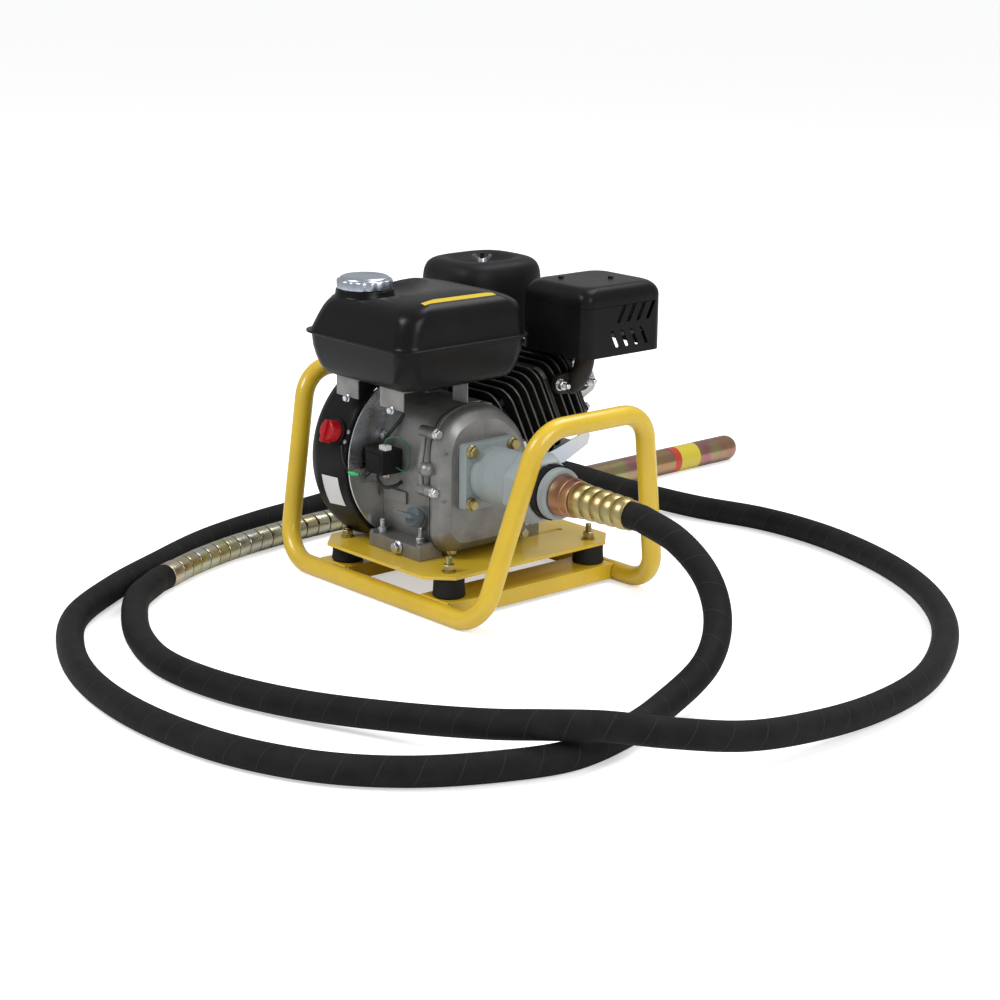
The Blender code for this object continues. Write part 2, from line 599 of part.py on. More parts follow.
def make_tank():
    seam = TANK_SEAM_Z
    lower = lofted("tank_lower", "black_paint",
                   [tank_ring(seam - 0.052, 0.024, 0.020), tank_ring(seam - 0.046, 0.014, 0.026),
                    tank_ring(seam - 0.018, 0.006, 0.024),
                    tank_ring(seam - 0.0015, 0.005, 0.024), tank_ring(seam - 0.0015, 0.0, 0.025),
                    tank_ring(seam - GAP / 2, 0.0, 0.025)])
    hollow = lofted("hollow", "steel", [tank_ring(seam - 0.042, 0.020, 0.020),
                                        tank_ring(seam + 0.01, 0.009, 0.022)])
    cut(lower, hollow)

    upper = lofted("tank_upper", "black_paint",
                   [tank_ring(seam + GAP / 2, 0.0, 0.025), tank_ring(seam + 0.0015, 0.0, 0.025),
                    tank_ring(seam + 0.0015, 0.005, 0.024),
                    tank_ring(seam + 0.033, 0.008, 0.025, 0.3 * TANK_CROWN),
                    tank_ring(seam + 0.040, 0.0145, 0.027, 0.75 * TANK_CROWN),
                    tank_ring(seam + 0.044, 0.030, 0.032, 0.95 * TANK_CROWN),
                    tank_ring(seam + 0.046, 0.056, 0.030, TANK_CROWN)])
    neck = turned("neck", "steel", (*CAP_XY, seam + 0.028), (0, 0, 1),
                  [(0, 0.047), (0.013, 0.040), (CAP_SEAT - 0.028, 0.031)], 20)
    add(upper, neck)
    hollow = lofted("hollow", "steel", [tank_ring(seam - 0.01, 0.008, 0.022),
                                        tank_ring(seam + 0.025, 0.013, 0.024),
                                        tank_ring(seam + 0.040, 0.040, 0.026)])
    filler = turned("filler", "steel", (*CAP_XY, seam + 0.02), (0, 0, 1), [(0, 0.021), (0.06, 0.021)], 18)
    recess = turned("recess", "steel", (*CAP_XY, seam + CAP_SEAT), (0, 0, 1), [(0, 0.0360), (0.03, 0.0385)],
                    28)
    cut(upper, hollow, filler, recess)

    top = seam + CAP_SEAT + GAP
    scallops, sides = 12, 36
    bm = bmesh.new()
    rings = []
    for z, r, wave in ((0.0, 0.0335, 0.0012), (0.0115, 0.0340, 0.0012), (0.0150, 0.0310, 0.0)):
        ring = []
        for i in range(sides):
            a = 2 * pi * i / sides
            reach = r + wave * cos(scallops * a)
            ring.append(bm.verts.new((CAP_XY[0] + reach * cos(a), CAP_XY[1] + reach * sin(a), top + z)))
        rings.append(ring)
    skin(bm, rings)
    new_object("fuel_cap", mesh_of("fuel_cap", bm), "chrome", origin=(*CAP_XY, top))


def make_tank_brackets():
    """Bent straps: a lip and shelf under the tank's near edge, an arm, and a foot on top of the crankcase."""
    high = TANK_SEAM_Z - 0.052 - GAP
    foot = 0.2380 + GAP
    t = 0.002
    for name, shelf, arm in (("tank_bracket_left", (-0.072, -0.030), (-0.0515, -0.030)),
                             ("tank_bracket_right", (0.012, 0.056), (0.018, 0.0450))):
        outline = [(-0.150, 0.246), (-0.148, 0.246), (-0.148, high - t), (-0.120, high - t), (-0.120, high),
                   (-0.150, high)]
        strap = extruded(name, "cast_aluminium", outline, "x", *shelf)
        outline = [(-0.130, high - t), (-0.042, high - t), (-0.042, foot), (-0.020, foot),
                   (-0.020, foot + t), (-0.040, foot + t),
                   (-0.040, high), (-0.130, high)]
        add(strap, extruded("arm", "steel", outline, "x", *arm))


# ---------------------------------------------------------------- air cleaner and carburettor
AIR_XY = (-0.0945, 0.1005)


CARB_XY, CARB_LOW, CARB_TOP = (-0.094, 0.104), 0.2200, 0.2620


def oval(cx, cy, rx, ry, z, count=24, power=3.2):
    points = []
    for i in range(count):
        a = 2 * pi * i / count
        c, s = cos(a), sin(a)
        k = (abs(c) ** power + abs(s) ** power) ** (-1 / power)
        points.append((cx + rx * k * c, cy + ry * k * s, z))
    return points


def make_air_cleaner():
    cx, cy = AIR_XY
    rx, ry = 0.0615, 0.0695
    low, high = 0.302, 0.377
    base = lofted("air_cleaner_base", "black_plastic",
                  [oval(cx, cy, rx - 0.006, ry - 0.006, low - 0.010), oval(cx, cy, rx, ry, low - 0.004),
                   oval(cx, cy, rx, ry, low - GAP)])
    stud = turned("stud", "steel", (cx, cy, low - 0.005), (0, 0, 1),
                  [(0, 0.003), (high + 0.014 - low + 0.005, 0.003)], 10)
    inlet = turned("inlet", "steel", (*CARB_XY, CARB_TOP), (0, 0, 1),
                   [(0, 0.015), (low - CARB_TOP - 0.004, 0.015)], 16)
    add(base, stud, inlet)
    rim = high + 0.0095
    outer = ((low, 0.0), (low + 0.060, 0.0), (low + 0.072, 0.003), (rim - 0.004, 0.008), (rim, 0.018),
             (rim - 0.001, 0.028), (high, 0.042))
    cover = lofted("air_cleaner_cover", "black_plastic",
                   [oval(cx, cy, rx - i, ry - i, z) for z, i in outer])
    hollow = lofted("hollow", "steel", [oval(cx, cy, rx - 0.0025, ry - 0.0025, low - 0.02),
                                        oval(cx, cy, rx - 0.0025, ry - 0.0025, low + 0.050),
                                        oval(cx, cy, rx - 0.014, ry - 0.014, high - 0.008),
                                        oval(cx, cy, rx - 0.032, ry - 0.032, high - 0.004)])
    through = turned("bore", "steel", (cx, cy, low - 0.02), (0, 0, 1), [(0, 0.0036), (0.13, 0.0036)], 12)
    cut(cover, hollow, through)
    turned("air_filter_element", "foam", (cx, cy, low + GAP), (0, 0, 1),
           [(0, 0.030), (0, 0.048), (0.055, 0.048), (0.055, 0.030), (0, 0.030)], 20)

    nut_z = high + GAP
    nut = turned("wing_nut", "zinc", (cx, cy, nut_z), (0, 0, 1),
                 [(0, 0.0034), (0, 0.0065), (0.002, 0.0065), (0.007, 0.0055), (0.007, 0.0034), (0, 0.0034)],
                 14)
    for sign in (-1, 1):
        outline = [(cx + sign * 0.0042, nut_z + 0.001), (cx + sign * 0.0062, nut_z + 0.001),
                   (cx + sign * 0.0125, nut_z + 0.0105),
                   (cx + sign * 0.0095, nut_z + 0.0125), (cx + sign * 0.0050, nut_z + 0.0062)]
        add(nut, extruded("wing", "steel", outline if sign > 0 else outline[::-1], "y", cy - 0.001,
                          cy + 0.001))
    turn_z(nut, (cx, cy, nut_z), radians(48))
    move_origin(nut, (cx, cy, nut_z))


def turn_z(obj, centre, angle):
    centre = Vector(centre)
    obj.data.transform(Matrix.Translation(centre) @ Matrix.Rotation(angle, 4,
            "Z") @ Matrix.Translation(-centre))


def make_carburettor():
    cx, cy = CARB_XY
    half_x, half_y = 0.018, 0.017
    body = box("carburettor", "cast_aluminium", (cx - half_x, cy - half_y, CARB_LOW),
               (cx + half_x, cy + half_y, CARB_TOP - GAP))
    bowl = turned("bowl", "steel", (cx, cy, 0.206), (0, 0, 1), [(0, 0.008), (0.003, 0.014), (0.020, 0.014)],
                  16)
    port = box("port", "steel", (cx + half_x - 0.001, cy - 0.015, 0.224), (-0.057 - GAP, cy + 0.015, 0.254))
    add(body, bowl, port)
    face = cx - half_x - GAP
    for name, mat, y, z, tip in (("choke_lever", "black_plastic", cy + 0.007, 0.252, (0.026, 0.012)),
                                 ("throttle_lever", "zinc", cy - 0.007, 0.236, (0.018, -0.014))):
        shape = rounded_outline([(y - 0.005, z - 0.005), (y + 0.005, z - 0.005),
                                 (y + tip[0], z + tip[1] - 0.003),
                                 (y + tip[0], z + tip[1] + 0.003), (y + 0.003, z + 0.006),
                                 (y - 0.005, z + 0.005)], 0.003, 1)
        extruded(name, mat, shape, "x", face - 0.002, face, origin=(face, y, z))
    pin = (cx, cy - half_y - GAP, 0.2300)
    shape = rounded_rectangle(pin[0] - 0.0045, pin[2] - 0.0045, pin[0] + 0.0045, pin[2] + 0.016, 0.004, 2)
    extruded("fuel_cock_lever", "black_plastic", shape, "y", pin[1] - 0.006, pin[1], origin=pin)


# ---------------------------------------------------------------- exhaust
MUFFLER_MIN, MUFFLER_MAX = (0.010, 0.074), (0.128, 0.205)
MUFFLER_LOW, MUFFLER_TOP = 0.2900, 0.3760


def make_muffler():
    (x0, y0), (x1, y1) = MUFFLER_MIN, MUFFLER_MAX
    low, top = MUFFLER_LOW, MUFFLER_TOP

    def ring(z, inset, corner):
        return [(x, y, z) for x, y in rounded_rectangle(x0 + inset, y0 + inset, x1 - inset, y1 - inset,
                                                        corner, 4)]

    shield = lofted("muffler_shield", "black_paint",
                    [ring(low, 0.0, 0.014), ring(top - 0.018, 0.0, 0.014), ring(top - 0.006, 0.004, 0.016),
                     ring(top, 0.014, 0.02)])
    t = 0.0015
    hollow = lofted("hollow", "steel", [ring(low - 0.01, t, 0.013), ring(top - 0.018, t, 0.013),
                                        ring(top - 0.0075, 0.0055, 0.015), ring(top - t, 0.0155, 0.019)])
    slots = []
    for i in range(4):
        y = y1 - 0.030 - i * 0.0165
        for z, lean in ((top - 0.046, 0.011), (low + 0.010, -0.011)):
            outline = [(y, z), (y + 0.006, z), (y + 0.006 + lean, z + 0.022), (y + lean, z + 0.022)]
            slots.append(extruded("slot", "steel", outline, "x", x1 - 0.01, x1 + 0.01))
    cut(shield, hollow, *slots)

    lofted("muffler_body", "cast_iron",
           [[(x, y, z) for x, y in rounded_rectangle(x0 + i, y0 + i, x1 - i, y1 - i, 0.012, 3)]
            for z, i in ((low + 0.020, 0.016), (low + 0.026, 0.010), (top - 0.020, 0.010),
                         (top - 0.014, 0.016))])


def make_exhaust_elbow():
    """Cast bend from the port on the head's side up to the floor of the muffler."""
    face = 0.057 + GAP
    y, z = 0.1140, 0.2480
    rise = (0.0765, 0.1220)
    top = MUFFLER_LOW + 0.020 - GAP
    path = [(face + 0.005, y, z), (face + 0.0115, y, z + 0.001), (face + 0.0175, y + 0.002, z + 0.010),
            (*rise, z + 0.028), (*rise, top - 0.012), (*rise, top)]
    elbow = swept("exhaust_elbow", "cast_iron", smooth_route(path, 0.010), 0.0122, sides=12)
    ring = [(y + a, z + b) for a, b in rounded_rectangle(-0.030, -0.013, 0.030, 0.013, 0.012, 2)]
    add(elbow, extruded("flange", "steel", ring, "x", face, face + 0.008))


# ---------------------------------------------------------------- small engine fittings
def make_fittings():
    low = PLATE_TOP + GAP
    axis = Vector((0, -0.94, 0.34)).normalized()
    seat = Vector((0.0225, -0.0955, 0.100)) + axis * 0.0035
    cap = turned("oil_filler_cap", "black_plastic", seat, axis,
                 [(0, 0.011), (0.005, 0.012), (0.012, 0.012)], 16)
    first, second, along = axis_frame(axis)
    grip = lofted("grip", "steel", [[seat + first * a + second * b + along * h for a,
                                     b in ((-0.014, -0.003), (0.014, -0.003), (0.014, 0.003),
                                           (-0.014, 0.003))]
                                    for h in (0.010, 0.026)])
    add(cap, grip)
    move_origin(cap, seat)

    bolt_seat = Vector((0.005, -0.116 - GAP, low + 0.0095))
    bolt = turned("oil_drain_bolt", "zinc", bolt_seat, (0, -1, 0), [(0, 0.0085), (0.0015, 0.0085)], 14)
    add(bolt, hexagon("hex", "steel", bolt_seat + Vector((0, -0.001, 0)), (0, -1, 0), 0.012, 0.007))

    box("oil_alert_box", "black_plastic", (-0.048, -0.126, 0.150), (-0.014, -0.094 - GAP, 0.180))


# ---------------------------------------------------------------- drive coupling
def make_coupling():
    x0 = PTO_X + GAP
    x1 = x0 + FLANGE_T
    h = FLANGE_HALF
    flange = extruded("coupling_housing", "grey_paint",
                      rounded_outline([(CRANK_Y - h, CRANK_Z - h), (CRANK_Y + h, CRANK_Z - h),
                                       (CRANK_Y + h, CRANK_Z + h), (CRANK_Y - h, CRANK_Z + h)], 0.006, 2),
                      "x", x0, x1)
    bell = turned("bell", "steel", crank(0), (1, 0, 0), [(x1 - 0.002, BELL_R), (0.152, BELL_R - 0.001)], 28)
    collar = turned("collar", "steel", crank(0), (1, 0, 0),
                    [(0.150, 0.040), (0.154, 0.042), (0.176, 0.042), (0.188, 0.036), (0.190, 0.035)], 8)
    add(flange, bell, collar)
    inside = turned("bore", "steel", crank(0), (1, 0, 0), [(0.05, 0.0275), (0.160, 0.0275)], 24)
    mouth = turned("bore", "steel", crank(0), (1, 0, 0), [(0.150, 0.0243), (0.25, 0.0243)], 24)
    cut(flange, inside, mouth)

    for i, (sy, sz) in enumerate(((-1, 1), (1, 1), (-1, -1), (1, -1)), start=1):
        seat = Vector(crank(x1 + GAP, sy * BOLT_HALF, sz * BOLT_HALF))
        bolt = turned(f"flange_bolt_{i}", "gold_zinc", seat, (1, 0, 0), [(0, 0.0082), (0.0015, 0.0082)], 12)
        add(bolt, hexagon("hex", "steel", seat + Vector((0.001, 0, 0)), (1, 0, 0), 0.012, 0.0065))

    turned("clutch_drum", "steel", crank(0), (1, 0, 0),
           [(0.092, 0.0100), (0.092, 0.026), (0.128, 0.026), (0.128, 0.010), (0.158, 0.010), (0.158, 0.0),
            (0.114, 0.0), (0.114, 0.0100), (0.092, 0.0100)],
           20, origin=crank(0))

    teeth = 24
    bm = bmesh.new()
    rings = []
    for x, r, depth in ((0.1905, 0.0245, 0.0), (0.1905, 0.0340, 0.0012), (0.2015, 0.0340, 0.0012),
                        (0.2015, 0.0245, 0.0)):
        ring = []
        for i in range(teeth * 2):
            a = 2 * pi * i / (teeth * 2)
            rr = r - (depth if i % 2 else 0.0)
            ring.append(bm.verts.new(crank(x, rr * cos(a), rr * sin(a))))
        rings.append(ring)
    skin(bm, rings, wrap=True)
    new_object("lock_ring", mesh_of("lock_ring", bm), "black_plastic")

    turned("hose_socket", "grey_paint", crank(0), (1, 0, 0),
           [(0.165, 0.0120), (0.165, 0.0238), (0.2020, 0.0238), (0.2020, 0.0310), (0.2100, 0.0310),
            (0.2125, 0.0290),
            (0.2125, 0.0120), (0.165, 0.0120)], 24)
    turned("hose_adapter", "copper_zinc", crank(0), (1, 0, 0),
           [(0.2128, 0.0245), (0.2145, 0.0252), (0.2300, 0.0232), (0.2400, 0.0222), (0.2420, 0.0216)], 20)
    ridges, pitch = 5, 0.0166
    profile = [(0.2423, 0.0195)]
    for i in range(ridges):
        near, swell = 0.2440 + i * pitch, 0.0212 - 0.0004 * i
        profile += [(near + 0.002, swell), (near + 0.010, swell + 0.0004),
                    (near + pitch - 0.001, swell - 0.0022)]
    profile += [(0.3285, 0.0176)]
    turned("hose_fitting", "gold_zinc", crank(0), (1, 0, 0), profile, 18)


# ---------------------------------------------------------------- hose, armour and poker
HOSE_EXIT_X = 0.3288               # the hose leaves the fitting along the crank axis
HOSE_ROUTE = [
    (0.3450, -0.0380, 0.1592), (0.3943, -0.0308, 0.1431), (0.4416, -0.0321, 0.1129),
    (0.4807, -0.0536, 0.0785),
    (0.5117, -0.1010, 0.0476), (0.5274, -0.1844, 0.0197), (0.5528, -0.2758, 0.0164),
    (0.5600, -0.3450, 0.0164),
    (0.538, -0.415, 0.0164), (0.495, -0.490, 0.0164), (0.434, -0.548, 0.0164), (0.352, -0.588, 0.0164),
    (0.264, -0.607, 0.0164), (0.160, -0.609, 0.0164), (0.056, -0.590, 0.0164), (-0.040, -0.550, 0.0164),
    (-0.130, -0.488, 0.0164), (-0.202, -0.390, 0.0164), (-0.250, -0.300, 0.0164), (-0.300, -0.195, 0.0164),
    (-0.332, -0.080, 0.0164), (-0.344, 0.030, 0.0184), (-0.322, 0.120, 0.036), (-0.268, 0.215, 0.053),
    (-0.200, 0.310, 0.054), (-0.120, 0.385, 0.028), (-0.020, 0.428, 0.0164), (0.080, 0.454, 0.0164),
    (0.172, 0.456, 0.0164), (0.270, 0.437, 0.0164), (0.366, 0.401, 0.0164), (0.450, 0.351, 0.0164),
    (0.530, 0.280, 0.0164), (0.598, 0.189, 0.0168), (0.647, 0.091, 0.0179), (0.670, -0.013, 0.0199),
    (0.674, -0.111, 0.0249), (0.666, -0.207, 0.0348), (0.636, -0.278, 0.0462), (0.588, -0.328, 0.0515),
    (0.546, -0.362, 0.0487), (0.492, -0.390, 0.0407), (0.380, -0.427, 0.0255), (0.272, -0.468, 0.0184),
    (0.167, -0.496, 0.0168), (0.070, -0.499, 0.0164), (-0.015, -0.474, 0.0164), (-0.090, -0.434, 0.0164),
    (-0.150, -0.390, 0.0164), (-0.183, -0.348, 0.0164),
]
ARMOUR_ROUTE = [(-0.2100, -0.2985, 0.016), (-0.2300, -0.2550, 0.016), (-0.2530, -0.1850, 0.016),
                (-0.2670, -0.1150, 0.016),
                (-0.2750, -0.0450, 0.016), (-0.2770, 0.0250, 0.016), (-0.2700, 0.1000, 0.016),
                (-0.2530, 0.1800, 0.016),
                (-0.2320, 0.2350, 0.0165), (-0.2170, 0.2800, 0.018), (-0.2122, 0.3210, 0.019)]
POKER_START = (-0.2125, 0.3330, 0.019)
POKER_END = (-0.2220, 0.7160, 0.019)


def poker_direction():
    return (Vector(POKER_END) - Vector(POKER_START)).normalized()


def make_hose():
    """The hose ends face to face with the ferrule, which sits on the first stretch of the armour."""
    armour = smooth_route(ARMOUR_ROUTE, 0.040) + [Vector(POKER_START) - poker_direction() * GAP]
    along = (armour[1] - armour[0]).normalized()
    ferrule_start = armour[0] - along * (GAP + FERRULE_LEN)
    route = smooth_route(HOSE_ROUTE + [ferrule_start - along * 0.020], 0.071)
    route = [Vector(crank(HOSE_EXIT_X))] + route + [ferrule_start - along * GAP]
    tube_curve("hose", "rubber", route, HOSE_R, 3)
    turned("hose_ferrule", "copper_zinc", ferrule_start, along,
           [(0, 0.0150), (0.002, 0.0160), (FERRULE_LEN - 0.002, 0.0160), (FERRULE_LEN, 0.0152)], 20)
    swept("armoured_sleeve", "zinc", armour, ARMOUR_R, sides=14)


def make_poker():
    start, along = Vector(POKER_START), poker_direction()
    length = POKER_LEN
    r = POKER_R
    profile = [(0.0, 0.0100), (0.0, r - 0.0015), (0.0015, r)]
    profile += [(length - r + r * sin(a), r * cos(a)) for a in (radians(d) for d in (0, 30, 55, 75))]
    profile += [(length, 0.0)]
    profile += [(length - 0.014, 0.0), (length - 0.014, 0.0155), (0.030, 0.0155), (0.030, 0.0100),
                (0.0, 0.0100)]
    turned("poker_tube", "gold_zinc", start, along, profile, 20)
    spin = start + along * (length / 2)
    rotor = turned("poker_rotor", "steel", start + along * 0.004, along,
                   [(0, 0.006), (0.036, 0.006), (0.036, 0.0125), (length - 0.060, 0.0125),
                    (length - 0.060, 0.006), (length - 0.024, 0.006)], 16)
    first, second, axis = axis_frame(along)
    half = lofted("half", "steel", [[start + axis * t + first * a + second * b for a,
                                     b in ((-0.02, 0.002), (0.02, 0.002), (0.02, 0.02), (-0.02, 0.02))]
                                    for t in (0.070, length - 0.090)])
    cut(rotor, half)
    move_origin(rotor, spin)


# ---------------------------------------------------------------- build
def clear_scene():
    for obj in list(bpy.data.objects):
        bpy.data.objects.remove(obj)


def main():
    clear_scene()
    make_frame()
    make_mounts()
    make_base_plate()
    make_crankcase()
    make_crankcase_cover()
    make_cylinder()
    make_lower_shroud()
    make_crank_train()
    make_fan_cover()
    make_shroud_plate()
    make_switch()
    make_tank()
    make_tank_brackets()
    make_air_cleaner()
    make_carburettor()
    make_muffler()
    make_exhaust_elbow()
    make_fittings()
    make_coupling()
    make_hose()
    make_poker()
    for obj in bpy.data.objects:
        obj.location += ORIGIN_SHIFT


main()
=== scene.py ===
"""Looks of a petrol-driven concrete vibrator: carrying frame, engine, drive coupling, hose and poker."""

import json
from math import cos, pi, radians, sin, tau

import bmesh
import bpy
from mathutils import Matrix, Vector


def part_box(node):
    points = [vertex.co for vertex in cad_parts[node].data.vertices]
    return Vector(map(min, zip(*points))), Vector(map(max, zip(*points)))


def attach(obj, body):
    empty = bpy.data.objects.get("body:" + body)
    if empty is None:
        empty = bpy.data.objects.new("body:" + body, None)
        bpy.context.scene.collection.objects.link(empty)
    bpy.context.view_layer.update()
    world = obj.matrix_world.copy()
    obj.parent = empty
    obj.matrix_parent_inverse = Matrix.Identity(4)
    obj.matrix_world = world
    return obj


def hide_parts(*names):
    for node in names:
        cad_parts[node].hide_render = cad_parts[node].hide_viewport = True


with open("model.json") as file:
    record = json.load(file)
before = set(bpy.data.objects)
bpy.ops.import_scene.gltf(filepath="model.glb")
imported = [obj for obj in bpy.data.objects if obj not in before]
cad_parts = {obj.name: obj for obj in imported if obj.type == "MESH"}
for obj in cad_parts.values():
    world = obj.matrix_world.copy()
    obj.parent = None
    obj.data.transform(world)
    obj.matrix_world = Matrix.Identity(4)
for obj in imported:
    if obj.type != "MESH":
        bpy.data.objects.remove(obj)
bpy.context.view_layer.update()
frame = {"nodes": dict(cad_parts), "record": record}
home_body = {node: body for body, nodes in frame["record"]["behaviour"]["bodies"].items() for node in nodes}

X, Y, Z = Vector((1, 0, 0)), Vector((0, 1, 0)), Vector((0, 0, 1))


def low(node):
    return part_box(node)[0]


def high(node):
    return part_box(node)[1]


def middle(node):
    lowest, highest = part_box(node)
    return (lowest + highest) / 2


def foot(node):
    """The middle of the node's underside."""
    return Vector((middle(node).x, middle(node).y, low(node).z))


# ---------------------------------------------------------------- places taken from the frame
BENCH = Y * middle("base_plate").y                    # the cord routes are measured from the plate's middle
CRANK = middle("coupling_housing") * Vector((0, 1, 1))
PLATE_TOP = high("base_plate").z
CYL_TILT = radians(25)                                # the cylinder leans up from horizontal
CYL_AXIS = Vector((0, cos(CYL_TILT), sin(CYL_TILT)))
POKER_R = 0.019
HOSE_R, ARMOUR_R, FERRULE_LEN, GAP = 0.0158, 0.0155, 0.022, 0.0003
MERGE = 0.000002                                      # corners closer together than this are one corner


def crank(x, y=0.0, z=0.0):
    """A place measured from the crankshaft axis."""
    return Vector((x, CRANK.y + y, CRANK.z + z))


def cyl(out, side=0.0, x=0.0):
    """A place measured along the leaning cylinder axis, and square to it."""
    return Vector((x, CRANK.y + out * cos(CYL_TILT) - side * sin(CYL_TILT),
            CRANK.z + out * sin(CYL_TILT) + side * cos(CYL_TILT)))


# ---------------------------------------------------------------- camera
def make_camera():
    azimuth, elevation, roll = radians(48.61), radians(15.11), radians(0.67)
    forward = Vector((-sin(azimuth) * cos(elevation), cos(azimuth) * cos(elevation), -sin(elevation)))
    right = Vector((cos(azimuth), sin(azimuth), 0))
    up = right.cross(forward)
    tilted = (right * cos(roll) + up * sin(roll), up * cos(roll) - right * sin(roll), -forward)
    camera = bpy.data.objects.new("camera", bpy.data.cameras.new("camera"))
    camera.data.lens, camera.data.sensor_width = 84.26, 36.0
    camera.matrix_world = Matrix(tilted).transposed().to_4x4()
    camera.location = Vector((2.1404, -1.8337, 0.8635)) + BENCH
    bpy.context.scene.collection.objects.link(camera)
    bpy.context.scene.camera = camera


# ---------------------------------------------------------------- node helpers
def node(tree, kind, inputs=(), **settings):
    """A shader node with its settings, and its sockets given a value or joined to another socket."""
    made = tree.nodes.new("ShaderNode" + kind)
    for key, value in settings.items():
        setattr(made, key, value)
    for socket, value in dict(inputs).items():
        if isinstance(value, bpy.types.NodeSocket):
            tree.links.new(value, made.inputs[socket])
        else:
            made.inputs[socket].default_value = value
    return made


def maths(tree, operation, *values):
    return node(tree, "Math", dict(enumerate(values)), operation=operation).outputs[0]


def blend(tree, share, first, second):
    return node(tree, "Mix", {0: share, 6: first, 7: second}, data_type="RGBA").outputs[2]


def window(tree, value, start, end):
    """Rises from 0 to 1 as the value goes from start to end."""
    return node(tree, "MapRange", {0: value, 1: start, 2: end, 3: 0.0, 4: 1.0}).outputs[0]


def band(tree, value, centre, half, edge=0.0002):
    """1 where the value is within half of the centre, fading out over the edge."""
    distance = maths(tree, "ABSOLUTE", maths(tree, "SUBTRACT", value, centre))
    return window(tree, distance, half + edge, half)


def colour(red, green, blue):
    return (red, green, blue, 1.0)


def new_group(name, inputs, outputs):
    """An empty shader group with named sockets, its entry and its exit."""
    group = bpy.data.node_groups.new(name, "ShaderNodeTree")
    for label, kind, value in inputs:
        socket = group.interface.new_socket(name=label, in_out="INPUT", socket_type="NodeSocket" + kind)
        if value is not None:
            socket.default_value = value
    for label, kind in outputs:
        group.interface.new_socket(name=label, in_out="OUTPUT", socket_type="NodeSocket" + kind)
    return group, group.nodes.new("NodeGroupInput").outputs, group.nodes.new("NodeGroupOutput").inputs


def make_wear_group():
    """Colour that wanders in soft patches, roughness that goes with it, and a fine grain height."""
    group, given, out = new_group("worn_finish", [("Place", "Vector", None),
            ("Colour", "Color", colour(0.5, 0.5, 0.5)), ("Worn colour", "Color", colour(0.4, 0.4, 0.4)),
            ("Patch scale", "Float", 30.0), ("Patch share", "Float", 0.5), ("Roughness", "Float", 0.4),
            ("Roughness spread", "Float", 0.1), ("Grain scale", "Float", 900.0)],
            [("Colour", "Color"), ("Roughness", "Float"), ("Height", "Float")])
    patch = node(group, "TexNoise", {"Vector": given["Place"], "Scale": given["Patch scale"], "Detail": 5.0,
            "Roughness": 0.62})
    share = maths(group, "MULTIPLY", window(group, patch.outputs[0], 0.4, 0.68), given["Patch share"])
    group.links.new(blend(group, share, given["Colour"], given["Worn colour"]), out["Colour"])
    wander = maths(group, "MULTIPLY", maths(group, "SUBTRACT", patch.outputs[0], 0.5),
            given["Roughness spread"])
    group.links.new(maths(group, "MULTIPLY_ADD", wander, 2.0, given["Roughness"]), out["Roughness"])
    grain = node(group, "TexNoise", {"Vector": given["Place"], "Scale": given["Grain scale"],
            "Detail": 3.0})
    group.links.new(grain.outputs[0], out["Height"])
    return group


def make_scratch_group():
    """Thin scattered scratches and rubbed spots."""
    group, given, out = new_group("scratches", [("Place", "Vector", None), ("Scale", "Float", 60.0),
            ("Amount", "Float", 0.5)], [("Mask", "Float")])
    stretched = node(group, "VectorMath", {0: given["Place"], 1: (1.0, 0.16, 1.7)},
            operation="MULTIPLY").outputs[0]
    lines = node(group, "TexNoise", {"Vector": stretched, "Scale": given["Scale"], "Detail": 8.0,
            "Roughness": 0.8, "Distortion": 0.6})
    where = node(group, "TexNoise", {"Vector": given["Place"], "Scale": 14.0, "Detail": 2.0})
    mask = maths(group, "MULTIPLY", window(group, lines.outputs[0], 0.66, 0.72),
            window(group, where.outputs[0], 0.45, 0.65))
    group.links.new(maths(group, "MULTIPLY", mask, given["Amount"]), out["Mask"])
    return group


def make_plating_group():
    """Chromate tints that drift over plated metal."""
    group, given, out = new_group("plating_tint", [("Place", "Vector", None),
            ("Metal", "Color", colour(0.7, 0.7, 0.7)), ("First tint", "Color", colour(0.7, 0.6, 0.3)),
            ("Second tint", "Color", colour(0.7, 0.4, 0.4)), ("Scale", "Float", 25.0)],
            [("Colour", "Color")])
    one = node(group, "TexNoise", {"Vector": given["Place"], "Scale": given["Scale"], "Detail": 2.0,
            "Distortion": 0.8})
    shifted = node(group, "VectorMath", {0: given["Place"], 1: (0.37, 0.11, 0.53)},
            operation="ADD").outputs[0]
    two = node(group, "TexNoise", {"Vector": shifted, "Scale": given["Scale"], "Detail": 2.0,
            "Distortion": 1.2})
    tinted = blend(group, window(group, one.outputs[0], 0.38, 0.62), given["Metal"], given["First tint"])
    group.links.new(blend(group, window(group, two.outputs[0], 0.46, 0.66), tinted, given["Second tint"]),
            out["Colour"])
    return group


WEAR, SCRATCHES, PLATING = make_wear_group(), make_scratch_group(), make_plating_group()
FINISHES = {}


def place_of(tree):
    return node(tree, "TexCoord").outputs["Object"]


def start_finish(name, metallic=0.0, specular=0.5, coat=0.0):
    mat = bpy.data.materials.new(name)
    mat.use_nodes = True
    shader = mat.node_tree.nodes["Principled BSDF"]
    shader.inputs["Metallic"].default_value = metallic
    shader.inputs["Specular IOR Level"].default_value = specular
    shader.inputs["Coat Weight"].default_value = coat
    FINISHES[name] = mat
    return mat.node_tree, shader


def group_node(tree, group, **inputs):
    made = tree.nodes.new("ShaderNodeGroup")
    made.node_tree = group
    for label, value in inputs.items():
        socket = label.replace("_", " ").capitalize()
        if isinstance(value, bpy.types.NodeSocket):
            tree.links.new(value, made.inputs[socket])
        else:
            made.inputs[socket].default_value = value
    return made.outputs


